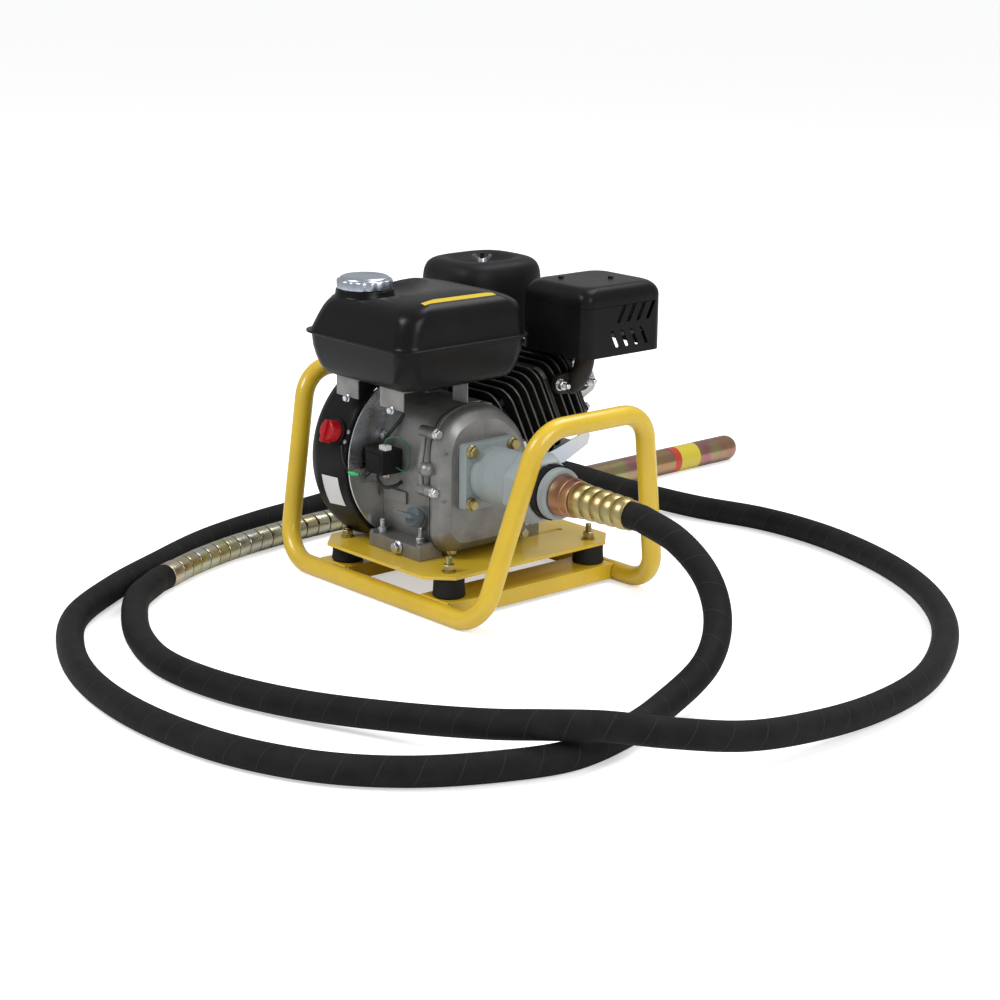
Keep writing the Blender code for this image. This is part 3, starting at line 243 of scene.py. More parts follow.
def bump(tree, shader, height, distance):
    relief = node(tree, "Bump", {"Height": height, "Strength": 1.0, "Distance": distance})
    tree.links.new(relief.outputs[0], shader.inputs["Normal"])


def finish(name, base, worn, rough, spread=0.08, patch=30.0, share=0.6, grain=900.0, relief=0.00004,
        metallic=0.0, specular=0.5, coat=0.0, scuffs=None, scuff_scale=60.0, scuff_amount=0.5, tints=None,
        tint_scale=25.0):
    """A material from the shared groups: wandering colour, grain, and where asked tints and scuffs."""
    tree, shader = start_finish(name, metallic, specular, coat)
    place = place_of(tree)
    worn_out = group_node(tree, WEAR, place=place, colour=colour(*base), worn_colour=colour(*worn),
            patch_scale=patch, patch_share=share, roughness=rough, roughness_spread=spread,
            grain_scale=grain)
    shade = worn_out["Colour"]
    if tints:
        shade = group_node(tree, PLATING, place=place, metal=shade, first_tint=colour(*tints[0]),
                second_tint=colour(*tints[1]), scale=tint_scale)["Colour"]
    if scuffs:
        mask = group_node(tree, SCRATCHES, place=place, scale=scuff_scale, amount=scuff_amount)["Mask"]
        shade = blend(tree, mask, shade, colour(*scuffs))
    tree.links.new(shade, shader.inputs["Base Color"])
    tree.links.new(worn_out["Roughness"], shader.inputs["Roughness"])
    bump(tree, shader, worn_out["Height"], relief)
    return tree, shader, shade


def make_plain_finishes():
    finish("yellow_paint", (0.66, 0.445, 0.026), (0.56, 0.37, 0.02), 0.32, 0.1, 16.0, 0.6, 240.0, 0.00005,
            coat=0.25, scuffs=(0.34, 0.22, 0.05), scuff_scale=46.0, scuff_amount=0.55)
    finish("black_paint", (0.005, 0.005, 0.0055), (0.009, 0.009, 0.01), 0.36, 0.08, 20.0, 0.6, 380.0,
            0.00004, specular=0.13, scuffs=(0.05, 0.05, 0.052), scuff_scale=40.0, scuff_amount=0.35)
    finish("black_plastic", (0.0075, 0.0075, 0.0085), (0.013, 0.013, 0.014), 0.48, 0.1, 26.0, 0.6, 1500.0,
            0.00006, specular=0.14)
    finish("rubber", (0.009, 0.009, 0.009), (0.02, 0.019, 0.018), 0.72, 0.14, 30.0, 0.7, 900.0, 0.0001,
            specular=0.25)
    finish("cast_aluminium", (0.27, 0.268, 0.262), (0.18, 0.178, 0.172), 0.44, 0.16, 26.0, 0.8, 800.0,
            0.00022, metallic=0.75, specular=0.4, scuffs=(0.44, 0.44, 0.43), scuff_scale=70.0,
            scuff_amount=0.6)
    finish("bright_aluminium", (0.52, 0.52, 0.52), (0.42, 0.42, 0.41), 0.36, 0.1, 30.0, 0.6, 800.0, 0.00007,
            metallic=0.8)
    finish("finned_black", (0.012, 0.012, 0.012), (0.028, 0.027, 0.026), 0.52, 0.12, 30.0, 0.7, 700.0,
            0.00012, specular=0.16)
    # lighter finish for the fin rims: a painted highlight along the rim edges
    finish("fin_rim_highlight", (0.1, 0.096, 0.092), (0.045, 0.042, 0.04), 0.48, 0.12, 60.0, 0.8, 900.0, 0.00006,
            metallic=0.5)
    finish("grey_paint", (0.285, 0.325, 0.335), (0.225, 0.26, 0.27), 0.46, 0.12, 18.0, 0.7, 500.0, 0.00014,
            scuffs=(0.46, 0.47, 0.46), scuff_scale=55.0, scuff_amount=0.5)
    finish("steel", (0.5, 0.5, 0.5), (0.38, 0.37, 0.36), 0.33, 0.1, 40.0, 0.6, 900.0, 0.00004, metallic=1.0)
    finish("zinc", (0.62, 0.64, 0.66), (0.54, 0.56, 0.58), 0.29, 0.1, 14.0, 0.6, 900.0, 0.000008,
            metallic=1.0, tints=((0.6, 0.63, 0.7), (0.64, 0.62, 0.54)), tint_scale=8.0)
    finish("gold_zinc", (0.44, 0.37, 0.15), (0.36, 0.29, 0.11), 0.36, 0.12, 30.0, 0.6, 900.0, 0.000015,
            metallic=1.0, tints=((0.4, 0.38, 0.19), (0.46, 0.29, 0.14)), tint_scale=60.0)
    finish("copper_zinc", (0.46, 0.25, 0.16), (0.4, 0.25, 0.13), 0.4, 0.12, 40.0, 0.6, 900.0, 0.00003,
            metallic=1.0, tints=((0.46, 0.28, 0.17), (0.42, 0.22, 0.17)), tint_scale=40.0)
    finish("tan_zinc", (0.52, 0.45, 0.34), (0.44, 0.37, 0.27), 0.34, 0.1, 30.0, 0.6, 900.0, 0.00001,
            metallic=1.0)
    # bluish base colour of the chrome is a painted reflection of a blue sky
    finish("chrome", (0.5, 0.54, 0.62), (0.4, 0.44, 0.52), 0.28, 0.05, 26.0, 0.5, 500.0, 0.000001,
            metallic=1.0)
    finish("red_plastic", (0.38, 0.004, 0.01), (0.3, 0.004, 0.008), 0.34, 0.08, 60.0, 0.5, 1200.0, 0.00003,
            specular=0.4)
    finish("cast_iron", (0.014, 0.0135, 0.013), (0.035, 0.026, 0.02), 0.58, 0.14, 34.0, 0.7, 800.0, 0.00018,
            specular=0.3)
    finish("foam", (0.085, 0.085, 0.075), (0.05, 0.05, 0.04), 0.9, 0.05, 60.0, 0.7, 1400.0, 0.0006,
            specular=0.2)
    finish("oil_cap_grey", (0.105, 0.135, 0.155), (0.075, 0.095, 0.11), 0.38, 0.08, 40.0, 0.6, 900.0,
            0.00004)
    finish("plain_label", (0.62, 0.62, 0.61), (0.52, 0.52, 0.51), 0.36, 0.06, 60.0, 0.5, 900.0, 0.00001)
    finish("green_plastic", (0.02, 0.4, 0.12), (0.015, 0.3, 0.09), 0.35, 0.06, 90.0, 0.5, 900.0, 0.00002)
    finish("white_plastic", (0.62, 0.62, 0.6), (0.5, 0.5, 0.48), 0.42, 0.08, 90.0, 0.5, 900.0, 0.00002)
    finish("wire_cover", (0.01, 0.01, 0.01), (0.02, 0.02, 0.02), 0.42, 0.1, 90.0, 0.6, 900.0, 0.00003,
            specular=0.4)
    finish("green_wire", (0.01, 0.12, 0.06), (0.01, 0.08, 0.04), 0.42, 0.08, 90.0, 0.6, 900.0, 0.00002)


def make_tank_finish():
    """Satin black with one plain yellow stripe along the right-hand shoulder of the top."""
    tree, shader, shade = finish("tank_paint", (0.0045, 0.0045, 0.0052), (0.008, 0.008, 0.0095), 0.32, 0.08,
            14.0, 0.6, 300.0, 0.00005, specular=0.16, coat=0.0, scuffs=(0.045, 0.045, 0.048),
            scuff_scale=30.0, scuff_amount=0.3)
    lowest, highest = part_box("tank_upper")
    at = node(tree, "SeparateXYZ", {0: place_of(tree)}).outputs
    wide = band(tree, at[0], highest.x - 0.0245, 0.0035, 0.0003)
    long = band(tree, at[1], BENCH.y - 0.074, 0.0548, 0.0004)
    up = window(tree, at[2], lowest.z + 0.034, lowest.z + 0.0345)
    mask = maths(tree, "MULTIPLY", maths(tree, "MULTIPLY", wide, long), up)
    tree.links.new(blend(tree, mask, shade, colour(0.58, 0.43, 0.03)), shader.inputs["Base Color"])


def make_hose_finish():
    """Cloth-wrapped rubber: a fine weave, and the slanting edge of the wrapping tape at every turn."""
    tree, shader = start_finish("hose_rubber", specular=0.12)
    uv = node(tree, "SeparateXYZ", {0: node(tree, "UVMap", uv_map="along_round").outputs[0]}).outputs
    along, round_ = uv[0], uv[1]
    turn = maths(tree, "FRACT", maths(tree, "ADD", maths(tree, "DIVIDE", along, 0.039), round_))
    edge = window(tree, maths(tree, "ABSOLUTE", maths(tree, "SUBTRACT", turn, 0.5)), 0.474, 0.49)
    threads = maths(tree, "MULTIPLY", maths(tree, "SINE", maths(tree, "MULTIPLY", along, tau / 0.0016)),
            maths(tree, "SINE", maths(tree, "MULTIPLY", round_, tau * 62)))
    worn = group_node(tree, WEAR, place=place_of(tree), colour=colour(0.007, 0.007, 0.0073),
            worn_colour=colour(0.017, 0.016, 0.015), patch_scale=26.0, patch_share=0.7, roughness=0.66,
            roughness_spread=0.12, grain_scale=700.0)
    tree.links.new(blend(tree, maths(tree, "MULTIPLY", edge, 0.35), worn["Colour"],
            colour(0.04, 0.039, 0.037)), shader.inputs["Base Color"])
    tree.links.new(worn["Roughness"], shader.inputs["Roughness"])
    height = maths(tree, "ADD", maths(tree, "MULTIPLY", threads, 0.18), maths(tree, "MULTIPLY", edge, -0.9))
    bump(tree, shader, maths(tree, "ADD", height, worn["Height"]), 0.00035)


ARMOUR_PITCH = 0.0208


def make_armour_finish():
    """Plated rings with a tint of their own each, and painted shade in the grooves between them."""
    tree, shader = start_finish("armour_zinc", metallic=1.0)
    uv = node(tree, "SeparateXYZ", {0: node(tree, "UVMap", uv_map="along_round").outputs[0]}).outputs
    ring = maths(tree, "DIVIDE", uv[0], ARMOUR_PITCH)
    own = node(tree, "TexWhiteNoise", {"W": maths(tree, "FLOOR", ring)},
            noise_dimensions="1D").outputs["Value"]
    tinted = group_node(tree, PLATING, place=place_of(tree), metal=colour(0.42, 0.42, 0.36),
            first_tint=colour(0.42, 0.41, 0.19), second_tint=colour(0.4, 0.33, 0.2), scale=24.0)["Colour"]
    tinted = blend(tree, maths(tree, "MULTIPLY", own, 0.55), tinted, colour(0.5, 0.51, 0.46))
    # darker colour in the grooves between the rings is painted shade
    groove = window(tree, maths(tree, "ABSOLUTE", maths(tree, "SUBTRACT", maths(tree, "FRACT", ring), 0.5)),
            0.452, 0.475)
    tree.links.new(blend(tree, groove, tinted, colour(0.035, 0.022, 0.012)), shader.inputs["Base Color"])
    worn = group_node(tree, WEAR, place=place_of(tree), patch_scale=40.0, roughness=0.26,
            roughness_spread=0.12, grain_scale=900.0)
    tree.links.new(worn["Roughness"], shader.inputs["Roughness"])
    bump(tree, shader, worn["Height"], 0.00004)


def make_poker_finish():
    """Rainbow chromate on a turned tube, with a plain two-colour band nearer its tip."""
    tree, shader = start_finish("poker_chromate", metallic=1.0)
    start = low("poker_tube").y
    place = place_of(tree)
    along = node(tree, "SeparateXYZ", {0: place}).outputs[1]
    drift = node(tree, "TexNoise", {"Vector": place, "Scale": 9.0, "Detail": 2.0,
            "Distortion": 1.0}).outputs[0]
    tinted = group_node(tree, PLATING, place=place, metal=colour(0.38, 0.27, 0.12),
            first_tint=colour(0.38, 0.19, 0.15), second_tint=colour(0.36, 0.15, 0.19), scale=19.0)["Colour"]
    tinted = blend(tree, window(tree, drift, 0.52, 0.66), tinted, colour(0.34, 0.32, 0.15))
    red = band(tree, along, start + 0.248, 0.0064)
    gold = band(tree, along, start + 0.275, 0.02)
    banded = blend(tree, gold, blend(tree, red, tinted, colour(0.42, 0.03, 0.012)),
            colour(0.52, 0.43, 0.03))
    tree.links.new(banded, shader.inputs["Base Color"])
    paper = maths(tree, "MAXIMUM", red, gold)
    tree.links.new(maths(tree, "SUBTRACT", 1.0, paper), shader.inputs["Metallic"])
    worn = group_node(tree, WEAR, place=place, patch_scale=24.0, roughness=0.25, roughness_spread=0.1,
            grain_scale=900.0)
    tree.links.new(worn["Roughness"], shader.inputs["Roughness"])
    turning = maths(tree, "SINE", maths(tree, "MULTIPLY", along, tau / 0.0011))
    bump(tree, shader, maths(tree, "MULTIPLY_ADD", turning, 0.25, worn["Height"]), 0.00003)


make_camera()
make_plain_finishes()
make_tank_finish()
make_hose_finish()
make_armour_finish()
make_poker_finish()


# ---------------------------------------------------------------- modelling helpers
def only(obj):
    """Makes a piece the only one selected, and the active one."""
    bpy.ops.object.select_all(action="DESELECT")
    obj.select_set(True)
    bpy.context.view_layer.objects.active = obj
    return obj


def edit_all(obj):
    only(obj)
    bpy.ops.object.mode_set(mode="EDIT")
    bpy.ops.mesh.select_all(action="SELECT")


def leave_edit(obj):
    bpy.ops.object.mode_set(mode="OBJECT")
    return obj


def lofted(rings, wrap=False):
    """Closed form drawn out of its first ring through the others; a wrapped one closes on its first."""
    rings = [[Vector(place) for place in ring] for ring in rings]
    if wrap:
        rings.append(rings[0])
    count = len(rings[0])
    bpy.ops.object.select_all(action="DESELECT")
    bpy.ops.mesh.primitive_circle_add(vertices=count, radius=1.0, fill_type="NGON")
    obj = bpy.context.object
    for vertex, place in zip(obj.data.vertices, rings[0]):
        vertex.co = place
    bpy.ops.object.mode_set(mode="EDIT")
    bpy.ops.mesh.select_all(action="SELECT")
    for before, after in zip(rings, rings[1:]):
        bpy.ops.mesh.extrude_region_move()
        mesh = bmesh.from_edit_mesh(obj.data)
        for vertex in [v for v in mesh.verts if v.select]:
            nearest = min(range(count), key=lambda i: (before[i] - vertex.co).length_squared)
            vertex.co = after[nearest]
        bmesh.update_edit_mesh(obj.data)
    if wrap:
        mesh = bmesh.from_edit_mesh(obj.data)
        caps = [face for face in mesh.faces if len(face.verts) == count and count > 4]
        bmesh.ops.delete(mesh, geom=caps, context="FACES_ONLY")
        bmesh.update_edit_mesh(obj.data)
    bpy.ops.mesh.select_all(action="SELECT")
    bpy.ops.mesh.remove_doubles(threshold=MERGE)
    bpy.ops.mesh.normals_make_consistent(inside=False)
    return leave_edit(obj)


def square_to(axis):
    along = Vector(axis).normalized()
    side = Z if abs(along.z) < 0.9 else Y
    first = side.cross(along).normalized()
    return first, along.cross(first), along


def turned(base, axis, profile, sides=48, wrap=False, wave=lambda turn: 0.0):
    """Body of revolution. The profile lists (distance along the axis, radius)."""
    first, second, along = square_to(axis)
    rings = []
    for t, r in profile:
        ring = []
        for i in range(sides):
            turn = tau * i / sides
            reach = max(r + (wave(turn) if r > 0.001 else 0.0), 0.00001)
            outward = first * (reach * cos(turn)) + second * (reach * sin(turn))
            ring.append(Vector(base) + along * t + outward)
        rings.append(ring)
    return lofted(rings, wrap)


def prism(outline, axis, start, end):
    """Prism on a 2-D outline. Axis x takes (y, z) points, y takes (x, z), z takes (x, y)."""
    stand = {"x": lambda p, h: (h, p[0], p[1]), "y": lambda p, h: (p[0], h, p[1]),
            "z": lambda p, h: (p[0], p[1], h)}[axis]
    return lofted([[stand(p, h) for p in outline] for h in (start, end)])


def block(lowest, highest):
    outline = [(lowest[0], lowest[1]), (highest[0], lowest[1]), (highest[0], highest[1]),
            (lowest[0], highest[1])]
    return prism(outline, "z", lowest[2], highest[2])


def rounded_rectangle(x0, y0, x1, y1, r, steps=8):
    points = []
    for cx, cy, start in ((x1 - r, y0 + r, -90), (x1 - r, y1 - r, 0), (x0 + r, y1 - r, 90),
            (x0 + r, y0 + r, 180)):
        for i in range(steps + 1):
            a = radians(start + 90 * i / steps)
            points.append((cx + r * cos(a), cy + r * sin(a)))
    return points


def rounded_outline(corners, radius, steps=6):
    """Outline with every corner of a polygon rounded."""
    points = []
    for i, corner in enumerate(corners):
        here = Vector(corner)
        before, after = Vector(corners[i - 1]) - here, Vector(corners[(i + 1) % len(corners)]) - here
        reach = min(radius, 0.45 * before.length, 0.45 * after.length)
        start, end = here + before.normalized() * reach, here + after.normalized() * reach
        for k in range(steps + 1):
            t = k / steps
            p = start * (1 - t) ** 2 + here * (2 * t * (1 - t)) + end * t ** 2
            points.append((p.x, p.y))
    return points


def apply_modifier(obj, kind, **settings):
    only(obj)
    modifier = obj.modifiers.new(kind.lower(), kind)
    for key, value in settings.items():
        setattr(modifier, key, value)
    bpy.ops.object.modifier_apply(modifier=modifier.name)
    return obj


def bevelled(obj, width, segments=2, angle=32):
    return apply_modifier(obj, "BEVEL", width=width, segments=segments, limit_method="ANGLE",
            angle_limit=radians(angle))


def cut(obj, *cutters):
    for cutter in cutters:
        apply_modifier(obj, "BOOLEAN", operation="DIFFERENCE", solver="EXACT", object=cutter)
        bpy.data.objects.remove(cutter)
    return obj


def joined(obj, *others):
    only(obj)
    for other in others:
        other.select_set(True)
    if others:
        bpy.ops.object.join()
    return obj


def softened(name, width, segments=2, angle=38):
    """The frame's own solid with its loose triangles merged and its edges rounded."""
    obj = bpy.data.objects.new(name, frame["nodes"][name].data.copy())
    bpy.context.scene.collection.objects.link(obj)
    obj.data.materials.clear()
    edit_all(obj)
    bpy.ops.mesh.remove_doubles(threshold=MERGE)
    bpy.ops.mesh.dissolve_limited(angle_limit=radians(1))
    bpy.ops.mesh.customdata_custom_splitnormals_clear()
    leave_edit(obj)
    return bevelled(obj, width, segments, angle)


def placed(master, place, axis, spin=0.0, size=1.0):
    """A copy of a piece modelled at the origin along +Z, with a mesh of its own."""
    turn = Z.rotation_difference(Vector(axis).normalized()).to_matrix().to_4x4()
    obj = bpy.data.objects.new(master.name, master.data.copy())
    obj.data.transform(Matrix.Translation(place) @ turn @ Matrix.Rotation(spin, 4, "Z") @ Matrix.Scale(size,
            4))
    bpy.context.scene.collection.objects.link(obj)
    return obj


def dress(obj, name, finish_name, stands_for=(), body=None, smooth=34, weighted=True):
    """Names, shades and colours a finished piece, ties it to its body and hides the solids it stands for.
    """
    only(obj)
    bpy.ops.object.transform_apply(location=True, rotation=True, scale=True)
    bpy.ops.object.shade_smooth_by_angle(angle=radians(smooth))
    if weighted:
        apply_modifier(obj, "WEIGHTED_NORMAL", keep_sharp=True)
    obj.name = name
    if not obj.data.materials:
        obj.data.materials.append(FINISHES[finish_name])
    nodes = [stands_for] if isinstance(stands_for, str) else list(stands_for)
    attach(obj, body or (home_body[nodes[0]] if nodes else "engine_unit"))
    if nodes:
        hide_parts(*nodes)
    return obj


def smooth_route(points, spacing):
    """Evenly spaced points on a Catmull-Rom curve through the given points."""
    pts = [Vector(p) for p in points]
    padded = [2 * pts[0] - pts[1]] + pts + [2 * pts[-1] - pts[-2]]
    dense = []
    for a, b, c, d in zip(padded, padded[1:], padded[2:], padded[3:]):
        knots = [0.0]
        for p, q in ((a, b), (b, c), (c, d)):
            knots.append(knots[-1] + max((q - p).length, 1e-6) ** 0.5)
        t0, t1, t2, t3 = knots
        for i in range(24):
            t = t1 + (t2 - t1) * i / 24
            a1 = a * ((t1 - t) / (t1 - t0)) + b * ((t - t0) / (t1 - t0))
            a2 = b * ((t2 - t) / (t2 - t1)) + c * ((t - t1) / (t2 - t1))
            a3 = c * ((t3 - t) / (t3 - t2)) + d * ((t - t2) / (t3 - t2))
            b1 = a1 * ((t2 - t) / (t2 - t0)) + a2 * ((t - t0) / (t2 - t0))
            b2 = a2 * ((t3 - t) / (t3 - t1)) + a3 * ((t - t1) / (t3 - t1))
            dense.append(b1 * ((t2 - t) / (t2 - t1)) + b2 * ((t - t1) / (t2 - t1)))
    dense.append(pts[-1])
    lengths = [0.0]
    for p, q in zip(dense, dense[1:]):
        lengths.append(lengths[-1] + (q - p).length)
    count = max(2, round(lengths[-1] / spacing))
    out, k = [], 0
    for i in range(count + 1):
        want = lengths[-1] * i / count
        while k < len(lengths) - 2 and lengths[k + 1] < want:
            k += 1
        share = (want - lengths[k]) / max(lengths[k + 1] - lengths[k], 1e-9)
        out.append(dense[k].lerp(dense[k + 1], share))
    return out


def tube(route, radius, sides=24, wrap=False, swell=lambda along: 0.0):
    """Round bar along a route, with a map of the distance along it and the turn round it."""
    pts = [Vector(p) for p in route]
    count = len(pts)
    mesh = bmesh.new()
    layer = mesh.loops.layers.uv.new("along_round")
    rings, lengths, normal = [], [0.0], None
    for i, here in enumerate(pts):
        after = pts[(i + 1) % count] if wrap or i < count - 1 else here
        before = pts[i - 1] if wrap or i > 0 else here
        along = (after - before).normalized()
        normal = square_to(along)[0] if normal is None else normal
        normal = (normal - along * normal.dot(along)).normalized()
        other = along.cross(normal)
        if i:
            lengths.append(lengths[-1] + (here - pts[i - 1]).length)
        r = radius + swell(lengths[-1])
        turns = [tau * k / sides for k in range(sides)]
        rings.append([mesh.verts.new(here + (normal * cos(turn) + other * sin(turn)) * r)
                for turn in turns])
    pairs = [(i, (i + 1) % count) for i in range(count if wrap else count - 1)]
    for i, j in pairs:
        end = lengths[j] if j else lengths[-1] + (pts[0] - pts[-1]).length
        for k in range(sides):
            face = mesh.faces.new((rings[i][k], rings[i][(k + 1) % sides], rings[j][(k + 1) % sides],
                    rings[j][k]))
            turns = (k / sides, (k + 1) / sides)
            for loop, uv in zip(face.loops, ((lengths[i], turns[0]), (lengths[i], turns[1]),
                    (end, turns[1]), (end, turns[0]))):
                loop[layer].uv = uv
    if not wrap:
        mesh.faces.new(rings[0][::-1])
        mesh.faces.new(rings[-1])
    bmesh.ops.recalc_face_normals(mesh, faces=mesh.faces)
    obj = bpy.data.objects.new("tube", bpy.data.meshes.new("tube"))
    mesh.to_mesh(obj.data)
    mesh.free()
    bpy.context.scene.collection.objects.link(obj)
    return obj


def wire(points, radius, name, finish_name, sides=12):
    return dress(tube(smooth_route(points, 0.003), radius, sides), name, finish_name,
            weighted=False)


# ---------------------------------------------------------------- hose, armour and poker
HOSE_EXIT_X = high("hose_fitting").x + GAP
HOSE_ROUTE = [(0.345, -0.038, 0.1592), (0.3943, -0.0308, 0.1431), (0.4416, -0.0321, 0.1129),
        (0.4807, -0.0536, 0.0785), (0.5117, -0.101, 0.0476), (0.5274, -0.1844, 0.0197),
        (0.5528, -0.2758, 0.0164), (0.56, -0.345, 0.0164), (0.538, -0.415, 0.0164), (0.495, -0.49, 0.0164),
        (0.434, -0.548, 0.0164), (0.352, -0.588, 0.0164), (0.264, -0.607, 0.0164), (0.16, -0.609, 0.0164),
        (0.056, -0.59, 0.0164), (-0.04, -0.55, 0.0164), (-0.13, -0.488, 0.0164), (-0.202, -0.39, 0.0164),
        (-0.25, -0.3, 0.0164), (-0.3, -0.195, 0.0164), (-0.332, -0.08, 0.0164), (-0.344, 0.03, 0.0184),
        (-0.322, 0.12, 0.036), (-0.268, 0.215, 0.053), (-0.2, 0.31, 0.054), (-0.12, 0.385, 0.028),
        (-0.02, 0.428, 0.0164), (0.08, 0.454, 0.0164), (0.172, 0.456, 0.0164), (0.27, 0.437, 0.0164),
        (0.366, 0.401, 0.0164), (0.45, 0.351, 0.0164), (0.53, 0.28, 0.0164), (0.598, 0.189, 0.0168),
        (0.647, 0.091, 0.0179), (0.67, -0.013, 0.0199), (0.674, -0.111, 0.0249), (0.666, -0.207, 0.0348),
        (0.636, -0.278, 0.0462), (0.588, -0.328, 0.0515), (0.546, -0.362, 0.0487), (0.492, -0.39, 0.0407),
        (0.38, -0.427, 0.0255), (0.272, -0.468, 0.0184), (0.167, -0.496, 0.0168), (0.07, -0.499, 0.0164),
        (-0.015, -0.474, 0.0164), (-0.09, -0.434, 0.0164), (-0.15, -0.39, 0.0164), (-0.183, -0.348, 0.0164)]
ARMOUR_ROUTE = [(-0.21, -0.2985, 0.016), (-0.23, -0.255, 0.016), (-0.253, -0.185, 0.016),
        (-0.267, -0.115, 0.016), (-0.275, -0.045, 0.016), (-0.277, 0.025, 0.016), (-0.27, 0.1, 0.016),
        (-0.253, 0.18, 0.016), (-0.232, 0.235, 0.0165), (-0.217, 0.28, 0.018), (-0.2122, 0.321, 0.019)]
POKER_START, POKER_END, POKER_LEN = Vector((-0.2125, 0.333, 0.019)), Vector((-0.222, 0.716, 0.019)), 0.385


def make_cords():
    poker_way = (POKER_END - POKER_START).normalized()
    coarse = smooth_route(ARMOUR_ROUTE, 0.04) + [POKER_START - poker_way * GAP]
    along = (coarse[1] - coarse[0]).normalized()
    ferrule_start = coarse[0] - along * (GAP + FERRULE_LEN)
    hose_line = smooth_route(HOSE_ROUTE + [ferrule_start - along * 0.02], 0.0075)
    hose_line = [Vector((HOSE_EXIT_X, CRANK.y,
            CRANK.z)) - BENCH] + hose_line + [ferrule_start - along * GAP]
    hose_line = [p + BENCH for p in hose_line]
    armour_line = smooth_route(ARMOUR_ROUTE + [POKER_START - poker_way * GAP], 0.0013)
    armour_line = [p + BENCH for p in armour_line]

    hose = dress(tube(hose_line, HOSE_R, 36), "rubber_hose", "hose_rubber", "hose",
            weighted=False)

    def groove(along_it):
        place = abs((along_it / ARMOUR_PITCH) % 1.0 - 0.5) * 2
        return -0.0011 * max(0.0, (place - 0.88) / 0.12) ** 0.7 - 0.0002 * place ** 2

    armour = dress(tube(armour_line, ARMOUR_R, 40, swell=groove), "ring_armour", "armour_zinc",
            "armoured_sleeve", weighted=False, smooth=50)
    ferrule = turned(ferrule_start + BENCH, along, [(0, 0.0148), (0.0006, 0.0154), (0.002, 0.016),
            (0.005, 0.016), (0.0056, 0.0156), (0.0066, 0.0156), (0.0072, 0.016),
            (FERRULE_LEN - 0.003, 0.016), (FERRULE_LEN - 0.001, 0.0157), (FERRULE_LEN, 0.0149)])
    dress(ferrule, "crimped_ferrule", "tan_zinc", "hose_ferrule")
    shank = make_poker(POKER_START + BENCH, poker_way)
    fitting, adapter = make_hose_end()


def make_poker(start, way):
    """Vibrating head: a short shank up to the screwed joint, then the long tube with its rounded tip."""
    r, length, joint = POKER_R, POKER_LEN, 0.0445
    shank = turned(start, way, [(0.0, 0.01), (0.0, r - 0.0018), (0.0006, r - 0.0006), (0.0018, r),
            (joint - 0.0005, r), (joint, r - 0.0005), (joint, 0.01)], 56)
    shank = dress(shank, "poker_shank", "poker_chromate", body="engine_unit")
    profile = [(joint + 0.0002, r - 0.006), (joint + 0.0002, r - 0.0005), (joint + 0.0012, r - 0.0005),
            (joint + 0.0016, r), (length - 0.046, r), (length - 0.0455, r - 0.0005),
            (length - 0.0445, r - 0.0005), (length - 0.044, r)]
    profile += [(length - r + r * sin(a), r * cos(a)) for a in (radians(8 * d) for d in range(0, 11))]
    profile += [(length, 0.0008)]
    dress(turned(start, way, profile, 56), "poker_head", "poker_chromate", "poker_tube")
    return shank


def make_hose_end():
    """Pinkish cone and the ridged ferrule that grips the hose."""
    cone = turned(crank(0), X, [(0.2128, 0.0238), (0.2133, 0.0247), (0.2147, 0.0252), (0.23, 0.0232),
            (0.2304, 0.0226), (0.2312, 0.0226), (0.2316, 0.0231), (0.24, 0.0222), (0.2414, 0.0219),
            (0.242, 0.0214)], 56)
    adapter = dress(cone, "adapter_cone", "copper_zinc", "hose_adapter")
    profile, ridges, pitch = [(0.2423, 0.019), (0.2428, 0.0202)], 5, 0.0166
    for i in range(ridges):
        near, swell = 0.244 + i * pitch, 0.0214 - 0.0005 * i
        profile += [(near + 0.0146 * t, swell - 0.0022 * (1 - sin(pi * (0.12 + 0.76 * t))) - 0.0012 * t)
                for t in (0.0, 0.12, 0.25, 0.4, 0.55, 0.7, 0.85, 1.0)]
        profile += [(near + pitch - 0.0012, swell - 0.0037)]
    profile += [(0.328, 0.0178), (0.3285, 0.0172)]
    fitting = dress(turned(crank(0), X, profile, 56), "ridged_ferrule", "gold_zinc", "hose_fitting",
            smooth=50)
    return fitting, adapter


make_cords()


# ---------------------------------------------------------------- shared fasteners, modelled once
def hex_rings(flats, start, end, chamfer):
    reach = flats / 2 / cos(pi / 6)
    stations = ((start, reach), (end - chamfer, reach), (end, reach - chamfer * 1.4))
    return [[(r * cos(tau * i / 6), r * sin(tau * i / 6), t) for i in range(6)] for t, r in stations]


def make_flange_bolt():
    """Hexagon head with its pressed flange and a chamfered flat top, 10 mm across the flats."""
    head = bevelled(lofted(hex_rings(0.01, 0.0012, 0.0064, 0.0007)), 0.0004)
    skirt = turned((0, 0, 0), Z, [(0, 0.0066), (0.0002, 0.007), (0.001, 0.007), (0.0022, 0.0058),
            (0.0024, 0.004)], 32)
    return joined(head, skirt)


def make_stud_nut():
    """Nut, plain washer and spring washer on a threaded stud, 13 mm across the flats."""
    nut = bevelled(lofted(hex_rings(0.013, 0.003, 0.0095, 0.0009)), 0.0004)
    plain = turned((0, 0, 0), Z, [(0, 0.008), (0.0002, 0.0085), (0.0013, 0.0085), (0.0015, 0.008)], 36)
    spring = turned((0, 0, 0), Z, [(0.0014, 0.0062), (0.0016, 0.0066), (0.0028, 0.0066), (0.003, 0.0062)],
            32)
    return joined(nut, plain, spring)


def threaded(length, radius, pitch):
    profile = [(0.0, radius)]
    for i in range(int((length - 0.0012) / pitch)):
        profile += [(pitch * (i + 0.5), radius - 0.0006), (pitch * (i + 1), radius)]
    profile += [(length - 0.0004, radius - 0.0004), (length, radius - 0.001)]
    return turned((0, 0, 0), Z, profile, 20)


flange_bolt, stud_nut = make_flange_bolt(), make_stud_nut()
masters = [flange_bolt, stud_nut]


